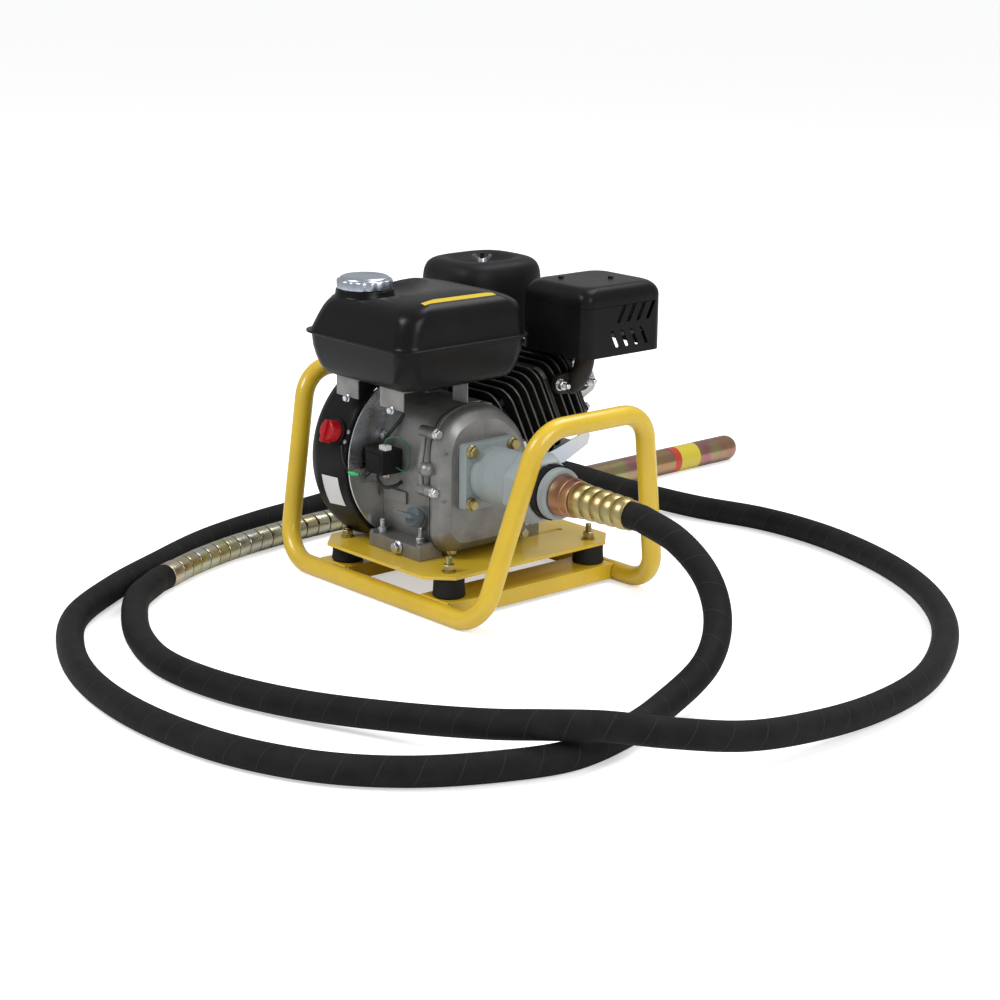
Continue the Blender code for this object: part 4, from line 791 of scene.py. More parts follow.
def nut_on_stud(place, axis, tall, radius, pitch=0.00125, spin=0.0, size=1.0):
    """A nut with its washers, and the threaded stud that it sits on."""
    stud = threaded(tall, radius, pitch)
    pieces = [placed(stud_nut, place, axis, spin=spin, size=size), placed(stud, place, axis)]
    bpy.data.objects.remove(stud)
    return pieces


# ---------------------------------------------------------------- carrying frame
TUBE_R = 0.012


def arc_corner(before, corner, after, radius, steps=12):
    u, v = (before - corner).normalized(), (after - corner).normalized()
    half = u.angle(v) / 2
    centre = corner + (u + v).normalized() * (radius / sin(half))
    reach = radius * cos(half) / sin(half)
    a, b = corner + u * reach - centre, corner + v * reach - centre
    turn = a.angle(b)
    return [centre + (a * sin(turn * (1 - i / steps)) + b * sin(turn * i / steps)) / sin(turn)
            for i in range(steps + 1)]


def make_frame():
    """One tube bent into two bottom rails and two sloping hoops."""
    lowest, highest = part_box("frame_tube")
    hoop_x, hoop_z, rail_y = highest.x - TUBE_R, highest.z - TUBE_R, (highest.y - lowest.y) / 2 - TUBE_R
    rail_x, hoop_y = 0.188, 0.083
    corners = [(rail_x, -rail_y, TUBE_R), (hoop_x, -hoop_y, hoop_z), (hoop_x, hoop_y, hoop_z),
            (rail_x, rail_y, TUBE_R)]
    corners += [(-x, y, z) for x, y, z in reversed(corners)]
    corners = [Vector(corner) + BENCH for corner in corners]
    path = []
    for i, corner in enumerate(corners):
        bend = 0.05 if i % 4 in (0, 3) else 0.046
        arc = arc_corner(corners[i - 1], corner, corners[(i + 1) % 8], bend)
        if path:
            path += [path[-1].lerp(arc[0], share) for share in (0.25, 0.5, 0.75)]
        path += arc
    dress(tube(path, TUBE_R, 36, wrap=True), "bent_frame_tube", "yellow_paint", "frame_tube",
            weighted=False)

    for side in ("left", "right"):
        name = f"cross_channel_{side}"
        dress(softened(name, 0.0014, 3), f"pressed_channel_{side}", "yellow_paint", name)
        lowest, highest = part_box(name)
        beads = []
        for y in (BENCH.y - rail_y + 0.005, BENCH.y + rail_y - 0.005):
            line = [Vector((lowest.x + 0.002 + (highest.x - lowest.x - 0.004) * i / 60, y,
                    highest.z - 0.001)) for i in range(61)]
            beads.append(tube(line, 0.0019, 14, swell=lambda s: 0.00045 * abs(sin(pi * s / 0.0046))))
        dress(joined(*beads), f"weld_beads_{side}", "yellow_paint", body="engine_unit", weighted=False)


def make_mounts():
    for end in ("left", "right"):
        for side in ("front", "back"):
            name = f"rubber_mount_{side}_{end}"
            lowest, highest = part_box(name)
            r, h = (highest.x - lowest.x) / 2, highest.z - lowest.z
            profile = [(0, r - 0.0022), (0.0006, r - 0.0008), (0.002, r), (0.006, r - 0.0006),
                    (h / 2, r - 0.0011), (h - 0.006, r - 0.0012), (h - 0.002, r - 0.0009),
                    (h - 0.0006, r - 0.0016), (h, r - 0.0028)]
            dress(turned(foot(name), Z, profile, 56), f"rubber_buffer_{side}_{end}", "rubber", name)
            name = f"mount_nut_{side}_{end}"
            pieces = nut_on_stud(foot(name), Z, high(name).z - low(name).z, 0.0039, spin=0.35)
            dress(joined(*pieces), f"buffer_nut_{side}_{end}", "gold_zinc", name)


make_frame()
make_mounts()
dress(softened("base_plate", 0.0007, 2), "engine_plate", "yellow_paint", "base_plate")


# ---------------------------------------------------------------- crankcase
COVER_X = low("crankcase_cover").x
PTO_X = high("crankcase_cover").x
DOWEL = (-0.105, 0.167)
COVER_BOLTS = ((-0.0982, 0.2115), (-0.103, 0.14), (-0.0745, 0.064), (0.042, 0.064), (-0.0082, 0.2165),
        (0.037, 0.179))


def bench(x, y, z):
    return Vector((x, y, z)) + BENCH


def make_crankcase():
    case = softened("crankcase", 0.003, 3, 24)
    details = []
    lug, dowel_lug = [(0, 0.004), (0.003, 0.0068), (0.0195, 0.0074)], [(0.004, 0.004), (0.009, 0.007),
            (0.0195, 0.009)]
    for y, z in COVER_BOLTS[:5] + (DOWEL,):
        details.append(turned(bench(COVER_X - 0.02, y, z), X, dowel_lug if (y, z) == DOWEL else lug, 28))
    plaque = block(bench(-0.046, -0.0975, 0.112), bench(-0.004, -0.093, 0.127))
    details.append(bevelled(plaque, 0.001, 2))
    seam_beads = [(COVER_X - 0.012, y, z) for y, z in (COVER_BOLTS[0], DOWEL, COVER_BOLTS[1])]
    details.append(tube([bench(*p) for p in smooth_route(seam_beads, 0.004)], 0.0034, 16))
    for x in (-0.05, 0.04):
        details.append(bevelled(block(bench(x, -0.1165, PLATE_TOP + 0.0003),
                bench(x + 0.006, -0.081, 0.0745)), 0.0012, 2))
    dress(joined(case, *details), "crankcase_casting", "cast_aluminium", "crankcase")

    studs = []
    for x, y, tall in ((-0.0395, -0.105, 0.0175), (0.0265, -0.099, 0.0195)):
        studs += nut_on_stud(bench(x, y, 0.0711), Z, tall, 0.0031, 0.001, spin=0.2, size=0.74)
    for x in (-0.0461, 0.0435):
        studs += nut_on_stud(bench(x * 0.9, 0.06, 0.069), Z, 0.015, 0.0035, spin=0.5, size=0.8)
    dress(joined(*studs), "engine_foot_nuts", "zinc")


def make_crankcase_cover():
    bottom = PLATE_TOP + 0.0063
    outline = [(-0.082, bottom), (-0.1, 0.078), (-0.1, 0.196), (-0.088, 0.228), (-0.052, 0.241),
            (-0.006, 0.236), (0.03, 0.205), (0.046, 0.16), (0.046, 0.085), (0.04, bottom)]
    skirt = rounded_outline(outline, 0.018, 6)
    centre = Vector((CRANK.y - BENCH.y + 0.006, CRANK.z - 0.012))

    def ring(x, scale):
        return [bench(x, centre.x + (p[0] - centre.x) * scale, centre.y + (p[1] - centre.y) * scale)
                for p in skirt]

    stations = [(0.0, 0.997), (0.0006, 1.004), (0.0055, 1.004), (0.0062, 0.993), (0.0105, 0.985),
            (0.0145, 0.972), (0.018, 0.95), (0.021, 0.915), (0.0235, 0.87),
            (PTO_X - COVER_X - 0.0016, 0.832)]
    cover = lofted([ring(COVER_X + t, scale) for t, scale in stations])
    half = 0.0425
    pad = prism(rounded_rectangle(CRANK.y - half, CRANK.z - half, CRANK.y + half, CRANK.z + half, 0.009, 5),
            "x", COVER_X + 0.012, PTO_X)
    bosses = [turned(bench(COVER_X, y, z), X, [(0, 0.0074), (0.008, 0.007), (0.0088, 0.0066),
            (0.009, 0.0055)], 28) for y, z in COVER_BOLTS]
    dowel = turned(bench(COVER_X, *DOWEL), X, [(0, 0.009), (0.004, 0.0082), (0.007, 0.0055),
            (0.008, 0.002)], 28)
    ribs = []
    for angle in (20, 62, 118, 200, 248, 292):
        turn = Matrix.Translation(crank(0)) @ Matrix.Rotation(radians(angle), 4,
                "X") @ Matrix.Translation(-crank(0))
        rib = bevelled(block(crank(COVER_X + 0.01, -0.0018, 0.04), crank(COVER_X + 0.0225, 0.0018, 0.066)),
                0.0008)
        rib.data.transform(turn)
        ribs.append(rib)
    dress(joined(bevelled(cover, 0.0006, 1), bevelled(pad, 0.0012, 2), dowel, *bosses, *ribs),
            "crankcase_cover_casting", "cast_aluminium", "crankcase_cover")
    bolts = [placed(flange_bolt, bench(COVER_X + 0.009, y, z), X, spin=0.3 * i)
            for i, (y, z) in enumerate(COVER_BOLTS)]
    dress(joined(*bolts), "crankcase_cover_bolts", "zinc")
    gasket = lofted([ring(COVER_X - t, 1.006) for t in (0.0008, 0.0001)])
    dress(gasket, "crankcase_gasket", "rubber")


make_crankcase()
make_crankcase_cover()


# ---------------------------------------------------------------- cylinder, head and rocker cover
FIN_PITCH, FIN_T = 0.0122, 0.0026


def slab(start, end, half_x, half_side, corner, left_x=None, right_x=None):
    """Rounded rectangular slab square to the cylinder axis."""
    shape = rounded_rectangle(left_x or -half_x, -half_side, right_x or half_x, half_side, corner, 7)
    return lofted([[cyl(t, side, x) for x, side in shape] for t in (start, end)])


def rims_painted_highlight(obj):
    """The fin rims take a lighter finish all round, a painted highlight along their edges."""
    obj.data.materials.append(FINISHES["finned_black"])
    obj.data.materials.append(FINISHES["fin_rim_highlight"])
    for face in obj.data.polygons:
        if abs(face.normal.dot(CYL_AXIS)) < 0.9 and face.area < 0.00012:
            face.material_index = 1
    return obj


def make_cylinder():
    start, end = 0.0663, 0.14
    barrel = turned(cyl(start), CYL_AXIS, [(0, 0.0455), (end - start, 0.0455)], 48)
    fins = []
    for i in range(6):
        near = start + 0.006 + i * FIN_PITCH
        right = COVER_X - 0.0005 if near < 0.084 else 0.057
        fins.append(bevelled(slab(near, near + FIN_T, 0.057, 0.059, 0.02, -0.0515, right), 0.0007, 2))
    tie = [bevelled(block(Vector((x - 0.0045, -0.0045, 0)), Vector((x + 0.0045, 0.0045, end - start))),
            0.001) for x in (-0.036, 0.036)]
    stand = Matrix.Translation(cyl(start, 0.04)) @ Z.rotation_difference(CYL_AXIS).to_matrix().to_4x4()
    for post in tie:
        post.data.transform(stand)
    rims_painted_highlight(barrel)
    for fin in fins:
        rims_painted_highlight(fin)
    for post in tie:
        post.data.materials.append(FINISHES["finned_black"])
    for face in barrel.data.polygons:
        face.material_index = 0
    dress(joined(barrel, *fins, *tie), "finned_cylinder", "finned_black", "cylinder_block")

    head_start, head_end = end + GAP, 0.19
    deck = bevelled(slab(head_start, head_start + 0.006, 0.056, 0.054, 0.014), 0.0008, 2)
    core = slab(head_start + 0.004, head_end - 0.001, 0.044, 0.046, 0.012)
    top = bevelled(slab(head_end - 0.006, head_end, 0.055, 0.05, 0.016), 0.0008, 2)
    fins = [bevelled(slab(head_start + 0.0155 + i * 0.0112, head_start + 0.0155 + i * 0.0112 + FIN_T, 0.057,
            0.054, 0.018), 0.0007, 2) for i in range(3)]
    for piece in (deck, top, *fins):
        rims_painted_highlight(piece)
    core.data.materials.append(FINISHES["finned_black"])
    dress(joined(core, deck, top, *fins), "finned_cylinder_head", "finned_black", "cylinder_head")

    shape = rounded_rectangle(-0.034, -0.037, 0.044, 0.037, 0.018, 8)
    stations = [(0.0, 1.0), (0.004, 1.0), (0.0046, 0.972), (0.03, 0.96), (0.035, 0.935), (0.0385, 0.885),
            (0.041, 0.81), (0.0425, 0.7)]
    cover = lofted([[cyl(head_end + GAP + t, side * k, x * k) for x, side in shape] for t, k in stations])
    dress(bevelled(cover, 0.0005, 1), "rocker_cover_casting", "bright_aluminium", "rocker_cover")
    bolts = [placed(flange_bolt, cyl(head_end + 0.0003, side, x), CYL_AXIS, size=0.85)
            for x in (-0.043, 0.0505) for side in (-0.034, 0.034)]
    dress(joined(*bolts), "cylinder_head_bolts", "zinc")


def make_spark_plug():
    base = cyl(0.1903, 0.01, -0.0455)
    boot = turned(base, CYL_AXIS, [(0, 0.0062), (0.01, 0.0062), (0.0104, 0.008), (0.0115, 0.0085),
            (0.02, 0.0085), (0.0205, 0.008), (0.0215, 0.008), (0.022, 0.0085), (0.034, 0.0083),
            (0.038, 0.0066), (0.04, 0.0045)], 32)
    dress(boot, "spark_plug_cap", "black_plastic", "spark_plug")
    tip = base + CYL_AXIS * 0.038
    wire([tip, tip + CYL_AXIS * 0.012 - X * 0.004, tip + Vector((-0.02, 0.004, 0.01)),
            Vector((-0.082, tip.y - 0.03, tip.z + 0.004)), Vector((-0.092, tip.y - 0.08, tip.z - 0.004)),
            Vector((-0.09, CRANK.y + 0.11, CRANK.z + 0.062))], 0.0034, "plug_lead", "wire_cover")


make_cylinder()
make_spark_plug()
dress(softened("lower_air_shroud", 0.0004, 1), "lower_shroud_plate", "zinc", "lower_air_shroud")


# ---------------------------------------------------------------- blower side
FAN_LOW, FAN_HIGH = low("fan_cover").z, high("fan_cover").z


def fan_ring(x, radius, inset, count=120):
    """Circle about the crank axis, held between the flats under the tank and over the plate."""
    points = []
    for i in range(count):
        a = tau * (i + 0.5) / count
        y, z = CRANK.y + radius * cos(a), CRANK.z + radius * sin(a)
        points.append((x, y, min(max(z, FAN_LOW + inset), FAN_HIGH - inset)))
    return points


def make_blower():
    t = 0.0022
    outer = [(-0.054, 0.113, 0), (-0.055, 0.1145, 0), (-0.062, 0.1162, 0), (-0.1, 0.12, 0),
            (-0.106, 0.1199, 0.0003), (-0.1125, 0.1184, 0.0014), (-0.118, 0.1152, 0.0045),
            (-0.1215, 0.1105, 0.009), (-0.1236, 0.104, 0.0145), (-0.124, 0.098, 0.02),
            (-0.124, 0.076, 0.036)]
    inner = [(-0.124 + t, 0.076, 0.036), (-0.124 + t, 0.0975, 0.02), (-0.1185, 0.108, 0.008),
            (-0.1135, 0.1148, 0.004), (-0.104, 0.1177, t), (-0.062, 0.1138, t), (-0.054, 0.1108, t)]
    shell = lofted([fan_ring(*ring) for ring in outer + inner], wrap=True)
    seats = [placed(flange_bolt, crank(-0.124, 0.094 * cos(a), 0.094 * sin(a)), -X, size=0.72)
            for a in (radians(d) for d in (48, 132, 228, 312))]
    dress(shell, "blower_cover", "black_paint", "fan_cover", smooth=24)
    dress(joined(*seats), "starter_bolts", "zinc")

    bowl = [(-0.1243, 0.088), (-0.1265, 0.0886), (-0.128, 0.088), (-0.14, 0.0846), (-0.15, 0.08),
            (-0.16, 0.0745), (-0.166, 0.069), (-0.1715, 0.0615), (-0.176, 0.052), (-0.1776, 0.044),
            (-0.1782, 0.03), (-0.1768, 0.024), (-0.1768, 0.0)]
    hollow = [(-0.175, 0.0), (-0.175, 0.03), (-0.1732, 0.05), (-0.1635, 0.0672), (-0.148, 0.0772),
            (-0.1265, 0.085), (-0.1243, 0.085)]
    cover = turned(crank(0), X, bowl + hollow, 72, wrap=True)
    cutters = []
    for ring_low, ring_high, count in ((0.055, 0.064, 14), (0.038, 0.047, 10)):
        for i in range(count):
            outline = rounded_rectangle(CRANK.y - 0.0065, CRANK.z + ring_low, CRANK.y + 0.0065,
                    CRANK.z + ring_high, 0.003, 4)
            slot = prism(outline, "x", -0.19, -0.15)
            slot.data.transform(Matrix.Translation(crank(0)) @ Matrix.Rotation(tau * i / count, 4,
                    "X") @ Matrix.Translation(-crank(0)))
            cutters.append(slot)
    cut(cover, joined(*cutters))
    dress(cover, "starter_cover", "black_paint", "recoil_cover")

    seat = low("recoil_handle")
    centre = Vector((middle("recoil_handle").x, seat.y, middle("recoil_handle").z))
    grip = turned(centre, Y, [(0, 0.0044), (0.001, 0.005), (0.005, 0.0075), (0.008, 0.009), (0.01, 0.0095),
            (0.015, 0.0088), (0.02, 0.0094), (0.024, 0.0088), (0.026, 0.0066)], 40)
    dress(grip, "starter_grip", "black_plastic", "recoil_handle")

    case_back = high("shroud_plate").x
    rings = [(case_back, 0.109, 0.0034), (case_back - 0.0006, 0.1098, 0.0026),
            (case_back - 0.0022, 0.1098, 0.0026), (case_back - 0.0027, 0.109, 0.0034)]
    plate = lofted([fan_ring(*ring) for ring in rings])
    hole = turned(crank(case_back - 0.01), X, [(0, 0.024), (0.02, 0.024)], 40)
    dress(cut(plate, hole), "blower_back_plate", "zinc", "shroud_plate")


def make_switch():
    tilt = radians(19)
    axis = Vector((0, -cos(tilt), sin(tilt)))
    seat = crank(-0.076) + axis * 0.119
    first, second, along = square_to(axis)
    knob = turned(seat, axis, [(0, 0.0131), (0.0005, 0.0135), (0.0115, 0.0126), (0.013, 0.0122),
            (0.0141, 0.0112), (0.0145, 0.0098)], 56)

    def bar(h, shrink):
        rim = rounded_rectangle(-0.016 + shrink, -0.003 + shrink, 0.012 - shrink, 0.003 - shrink, 0.0022, 5)
        return [seat + second * a + first * b + along * h for a, b in rim]

    grip = lofted([bar(0.004, 0.0), bar(0.0172, 0.0), bar(0.0181, 0.0004), bar(0.0185, 0.001)])
    dress(joined(bevelled(knob, 0.0004), grip), "stop_switch_knob", "red_plastic", "ignition_knob")
    collar = turned(seat - axis * 0.002, axis, [(0, 0.017), (0.0008, 0.0174), (0.0016, 0.017),
            (0.0017, 0.014)], 48)
    dress(collar, "switch_collar", "black_plastic")
    screws = []
    for along_x, up in ((0.0235, 0.004), (0.0215, -0.0085)):
        place = crank(-0.076 + along_x, 0, 0) + axis * 0.1166 + axis.cross(X) * up
        screws.append(turned(place, axis, [(0, 0.0028), (0.0012, 0.0028), (0.002, 0.002), (0.0022, 0.0006)],
                24))
    dress(joined(*screws), "switch_screws", "chrome")


def make_label():
    """Plain blank label on the near side of the blower cover."""
    rings = []
    for i in range(13):
        a = radians(188.5 + 19.5 * i / 12)
        ring = []
        for x, r in ((-0.094, 0.1199), (-0.066, 0.1171), (-0.066, 0.1175), (-0.094, 0.1203)):
            ring.append((x, CRANK.y + r * cos(a), CRANK.z + r * sin(a)))
        rings.append(ring)
    dress(lofted(rings), "blank_label", "plain_label")


make_blower()
make_switch()
make_label()


# ---------------------------------------------------------------- fuel tank
CAP = middle("fuel_cap")
SEAM = low("tank_upper").z


def tank_ring(z, inset, corner, crown=0.0):
    lowest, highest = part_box("tank_upper")
    middle_y, half = (lowest.y + highest.y) / 2, (highest.y - lowest.y) / 2
    lean = min(max((z - SEAM - 0.004) / 0.04, 0.0), 1.0)      # the upper half's left and near walls lean
    shape = rounded_rectangle(lowest.x + inset + 0.018 * lean, lowest.y + inset + 0.007 * lean,
            highest.x - inset, highest.y - inset, corner, 10)
    return [(x, y, z + crown * (1 - ((y - middle_y) / half) ** 2)) for x, y in shape]


def make_tank():
    crown, lip = 0.012, 0.0015
    stations = [(-0.052, 0.026, 0.02), (-0.0512, 0.0215, 0.022), (-0.049, 0.0172, 0.025),
            (-0.0455, 0.0138, 0.026), (-0.04, 0.0112, 0.026), (-0.03, 0.0084, 0.025),
            (-0.018, 0.0062, 0.024), (-0.006, 0.0052, 0.024), (-0.0026, 0.0046, 0.024),
            (-lip, 0.0036, 0.0245), (-lip, 0.0004, 0.025), (-lip * 0.7, 0.0, 0.025), (-GAP / 2, 0.0, 0.025)]
    lower = lofted([tank_ring(SEAM + z, inset, corner) for z, inset, corner in stations])
    dress(lower, "tank_lower_pressing", "tank_paint", "tank_lower")

    stations = [(GAP / 2, 0.0, 0.025, 0), (lip * 0.7, 0.0, 0.025, 0), (lip, 0.0004, 0.025, 0),
            (lip, 0.0036, 0.0245, 0), (0.0026, 0.0046, 0.024, 0), (0.006, 0.0052, 0.024, 0.0),
            (0.02, 0.006, 0.024, 0.06), (0.03, 0.007, 0.025, 0.18), (0.035, 0.0084, 0.026, 0.36),
            (0.0385, 0.0108, 0.026, 0.56), (0.041, 0.0142, 0.027, 0.74), (0.0428, 0.0188, 0.028, 0.86),
            (0.044, 0.0245, 0.03, 0.93), (0.0449, 0.032, 0.032, 0.97), (0.0456, 0.044, 0.033, 1.0),
            (0.046, 0.06, 0.03, 1.0)]
    upper = lofted([tank_ring(SEAM + z, inset, corner, crown * share)
            for z, inset, corner, share in stations])
    seat = low("fuel_cap").z - GAP - SEAM
    rise = [(0.028, 0.04), (seat - 0.0104, 0.04), (seat - 0.009, 0.0372), (seat - 0.007, 0.0358),
            (seat - 0.002, 0.035), (seat - 0.0006, 0.0346), (seat, 0.0336), (seat, 0.03)]
    moat = [(seat - 0.0085, 0.033), (seat - 0.0085, 0.04), (seat - 0.008, 0.045), (seat - 0.0064, 0.052),
            (seat - 0.0034, 0.061), (seat + 0.012, 0.098), (seat + 0.012, 0.033)]
    cut(upper, turned((CAP.x, CAP.y, SEAM), Z, moat, 96, wrap=True))
    neck = turned((CAP.x, CAP.y, SEAM), Z, rise, 64)
    apply_modifier(upper, "BOOLEAN", operation="UNION", solver="EXACT", object=neck)
    bpy.data.objects.remove(neck)
    cut(upper, turned((CAP.x, CAP.y, SEAM), Z, [(seat, 0.0352), (0.085, 0.0364)], 64))
    dress(upper, "tank_upper_pressing", "tank_paint", "tank_upper")

    base = Vector((CAP.x, CAP.y, low("fuel_cap").z))

    def scallop(turn):
        return 0.0006 * cos(16 * turn)

    skirt = [(0, 0.0322), (0.0006, 0.0333), (0.0092, 0.0335), (0.0106, 0.033), (0.0112, 0.0322)]
    rim = [(0.01, 0.0308), (0.0118, 0.0306), (0.0132, 0.0296), (0.0143, 0.028), (0.0149, 0.0262),
            (0.0149, 0.0244), (0.0144, 0.0232), (0.014, 0.0224), (0.0139, 0.01), (0.0139, 0.001)]
    cap = joined(turned(base, Z, skirt, 160, wave=scallop), turned(base, Z, rim, 96))
    dress(cap, "scalloped_fuel_cap", "chrome", "fuel_cap", smooth=50, weighted=False)


make_tank()
for side in ("left", "right"):
    dress(softened(f"tank_bracket_{side}", 0.0005, 2), f"tank_strap_{side}", "cast_aluminium",
            f"tank_bracket_{side}")
strap_bolts = []
for side in ("left", "right"):
    lowest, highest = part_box(f"tank_bracket_{side}")
    strap_bolts.append(placed(flange_bolt, Vector(((lowest.x + highest.x) / 2, lowest.y, lowest.z + 0.006)),
            -Y, size=0.72))
dress(joined(*strap_bolts), "tank_strap_bolts", "zinc")


# ---------------------------------------------------------------- air cleaner and carburettor
def oval(centre, rx, ry, z, count=88, power=3.2):
    points = []
    for i in range(count):
        c, s = cos(tau * i / count), sin(tau * i / count)
        k = (abs(c) ** power + abs(s) ** power) ** (-1 / power)
        points.append((centre.x + rx * k * c, centre.y + ry * k * s, z))
    return points


def make_air_cleaner():
    lowest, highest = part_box("air_cleaner_cover")
    centre = (lowest + highest) / 2
    rx, ry, base, top = (highest.x - lowest.x) / 2, (highest.y - lowest.y) / 2, lowest.z, highest.z
    stations = [(0.0, 0.0006), (0.0006, 0.0), (0.005, 0.0), (0.0056, 0.0008), (0.0066, 0.0008),
            (0.0072, 0.0)]
    rim = top - base
    stations += [(rim - 0.0245, 0.0), (rim - 0.0165, 0.001), (rim - 0.0115, 0.0024), (rim - 0.0078, 0.0042),
            (rim - 0.005, 0.0066), (rim - 0.003, 0.0092), (rim - 0.0014, 0.0124), (rim - 0.0004, 0.016),
            (rim, 0.02), (rim - 0.0002, 0.0235), (rim - 0.001, 0.027), (rim - 0.0028, 0.031),
            (rim - 0.005, 0.035), (rim - 0.007, 0.0385), (rim - 0.0085, 0.042), (rim - 0.0092, 0.046)]
    cover = lofted([oval(centre, rx - i, ry - i, base + z) for z, i in stations])
    dress(bevelled(cover, 0.0003, 1), "air_cleaner_lid", "black_plastic", "air_cleaner_cover")
    dress(softened("air_cleaner_base", 0.001, 2), "air_cleaner_dish", "black_plastic", "air_cleaner_base")
    dress(softened("wing_nut", 0.0005, 2, 30), "lid_wing_nut", "zinc", "wing_nut")
    seat = low("wing_nut").z - GAP
    washer = turned((centre.x, centre.y, seat), Z, [(-0.001, 0.011), (0.0, 0.011), (0.0002, 0.01)], 40)
    dress(washer, "lid_washer", "zinc")


def make_carburettor():
    body = softened("carburettor", 0.0014, 2, 30)
    lowest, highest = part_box("carburettor")
    screws = [placed(flange_bolt, Vector((x, lowest.y + 0.0005, z)), -Y, size=0.5)
            for x, z in ((lowest.x + 0.006, highest.z - 0.006), (lowest.x + 0.03, highest.z - 0.006))]
    dress(joined(body, *screws), "carburettor_casting", "cast_aluminium", "carburettor")
    for name, finish_name in (("choke_lever", "black_plastic"), ("throttle_lever", "zinc"),
            ("fuel_cock_lever", "black_plastic")):
        dress(softened(name, 0.0004, 2), f"{name}_arm", finish_name, name)
    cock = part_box("fuel_cock_lever")[1]
    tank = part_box("tank_lower")[0]
    wire([(cock.x + 0.006, cock.y + 0.006, cock.z - 0.004), (cock.x + 0.016, cock.y - 0.004,
            cock.z + 0.004), (cock.x + 0.022, cock.y - 0.022, cock.z + 0.022),
            (cock.x + 0.02, cock.y - 0.06, tank.z + 0.004)], 0.0038, "fuel_hose", "wire_cover")


make_air_cleaner()
make_carburettor()


# ---------------------------------------------------------------- exhaust
EXHAUST_PORT = (0.114, 0.248)                       # y and z of the port on the head's side
MUFFLER_INLET = (0.0765, 0.122)                      # x and y of the hole in the muffler's floor


def make_muffler():
    lowest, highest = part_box("muffler_shield")
    bottom, top = lowest.z, highest.z

    def ring(z, inset, corner):
        return [(x, y, z) for x, y in rounded_rectangle(lowest.x + inset, lowest.y + inset,
                highest.x - inset, highest.y - inset, corner, 10)]

    def shell(t, drop):
        edge = [(0.018 * (1 - sin(a)), 0.014 * (1 - cos(a))) for a in (radians(11.25 * k)
                for k in range(9))]
        return [ring(top - t - z, i + t, 0.014 + 0.4 * i) for z, i in edge] + [ring(top - t, 0.02 + t,
                0.02)], ring(bottom - drop, t, 0.014)

    outer, start = shell(0.0, 0.0)
    seam = [ring(top - 0.0235, 0.0, 0.014), ring(top - 0.0238, 0.0006, 0.014),
            ring(top - 0.0244, 0.0006, 0.014), ring(top - 0.0247, 0.0, 0.014)]
    shield = lofted([start] + seam[::-1] + outer)
    inner, start = shell(0.0014, 0.01)
    slots = [lofted([start] + inner)]
    for i in range(4):
        y = highest.y - 0.03 - i * 0.0165
        for z, lean in ((top - 0.046, 0.011), (bottom + 0.01, -0.011)):
            outline = rounded_outline([(y, z), (y + 0.006, z), (y + 0.006 + lean, z + 0.022),
                    (y + lean, z + 0.022)], 0.0026, 3)
            slots.append(prism(outline, "x", highest.x - 0.01, highest.x + 0.01))
            if z < top - 0.05:
                far = [(2 * middle("muffler_shield").y - a, b) for a, b in outline]
                slots.append(prism(far, "x", lowest.x - 0.01, lowest.x + 0.01))
    cut(shield, *slots)
    dress(shield, "louvred_heat_shield", "black_paint", "muffler_shield", smooth=28)
    bolts = [placed(flange_bolt, bench(x, y, top - 0.0012), Z, size=0.62)
            for x, y in ((0.0429, 0.111), (0.0802, 0.1598))]
    dress(joined(*bolts), "heat_shield_bolts", "black_paint")


def make_elbow():
    face = low("exhaust_elbow").x
    y, z = EXHAUST_PORT
    rise = MUFFLER_INLET
    top = high("exhaust_elbow").z
    path = [(face + 0.002, y, z), (face + 0.009, y, z + 0.0005), (face + 0.0175, y + 0.002, z + 0.01),
            (*rise, z + 0.028), (*rise, top - 0.012), (*rise, top)]
    pipe = tube([p + BENCH for p in smooth_route(path, 0.003)], 0.0122, 36)
    rim = [(y + BENCH.y + a, z + b) for a, b in rounded_rectangle(-0.03, -0.013, 0.03, 0.013, 0.012, 8)]
    flange = bevelled(prism(rim, "x", face, face + 0.008), 0.001, 2)
    collar = turned(bench(face + 0.008, y, z), X, [(-0.001, 0.015), (0.001, 0.0146), (0.003, 0.0128)], 36)
    dress(joined(flange, pipe, collar), "exhaust_pipe", "cast_iron", "exhaust_elbow")
    nuts = []
    for side in (-1, 1):
        place = bench(face + 0.008, y + side * 0.0225, z)
        nuts += nut_on_stud(place, X, 0.0165, 0.0036, spin=0.3, size=0.88)
    dress(joined(*nuts), "exhaust_nuts", "zinc")


make_muffler()
make_elbow()


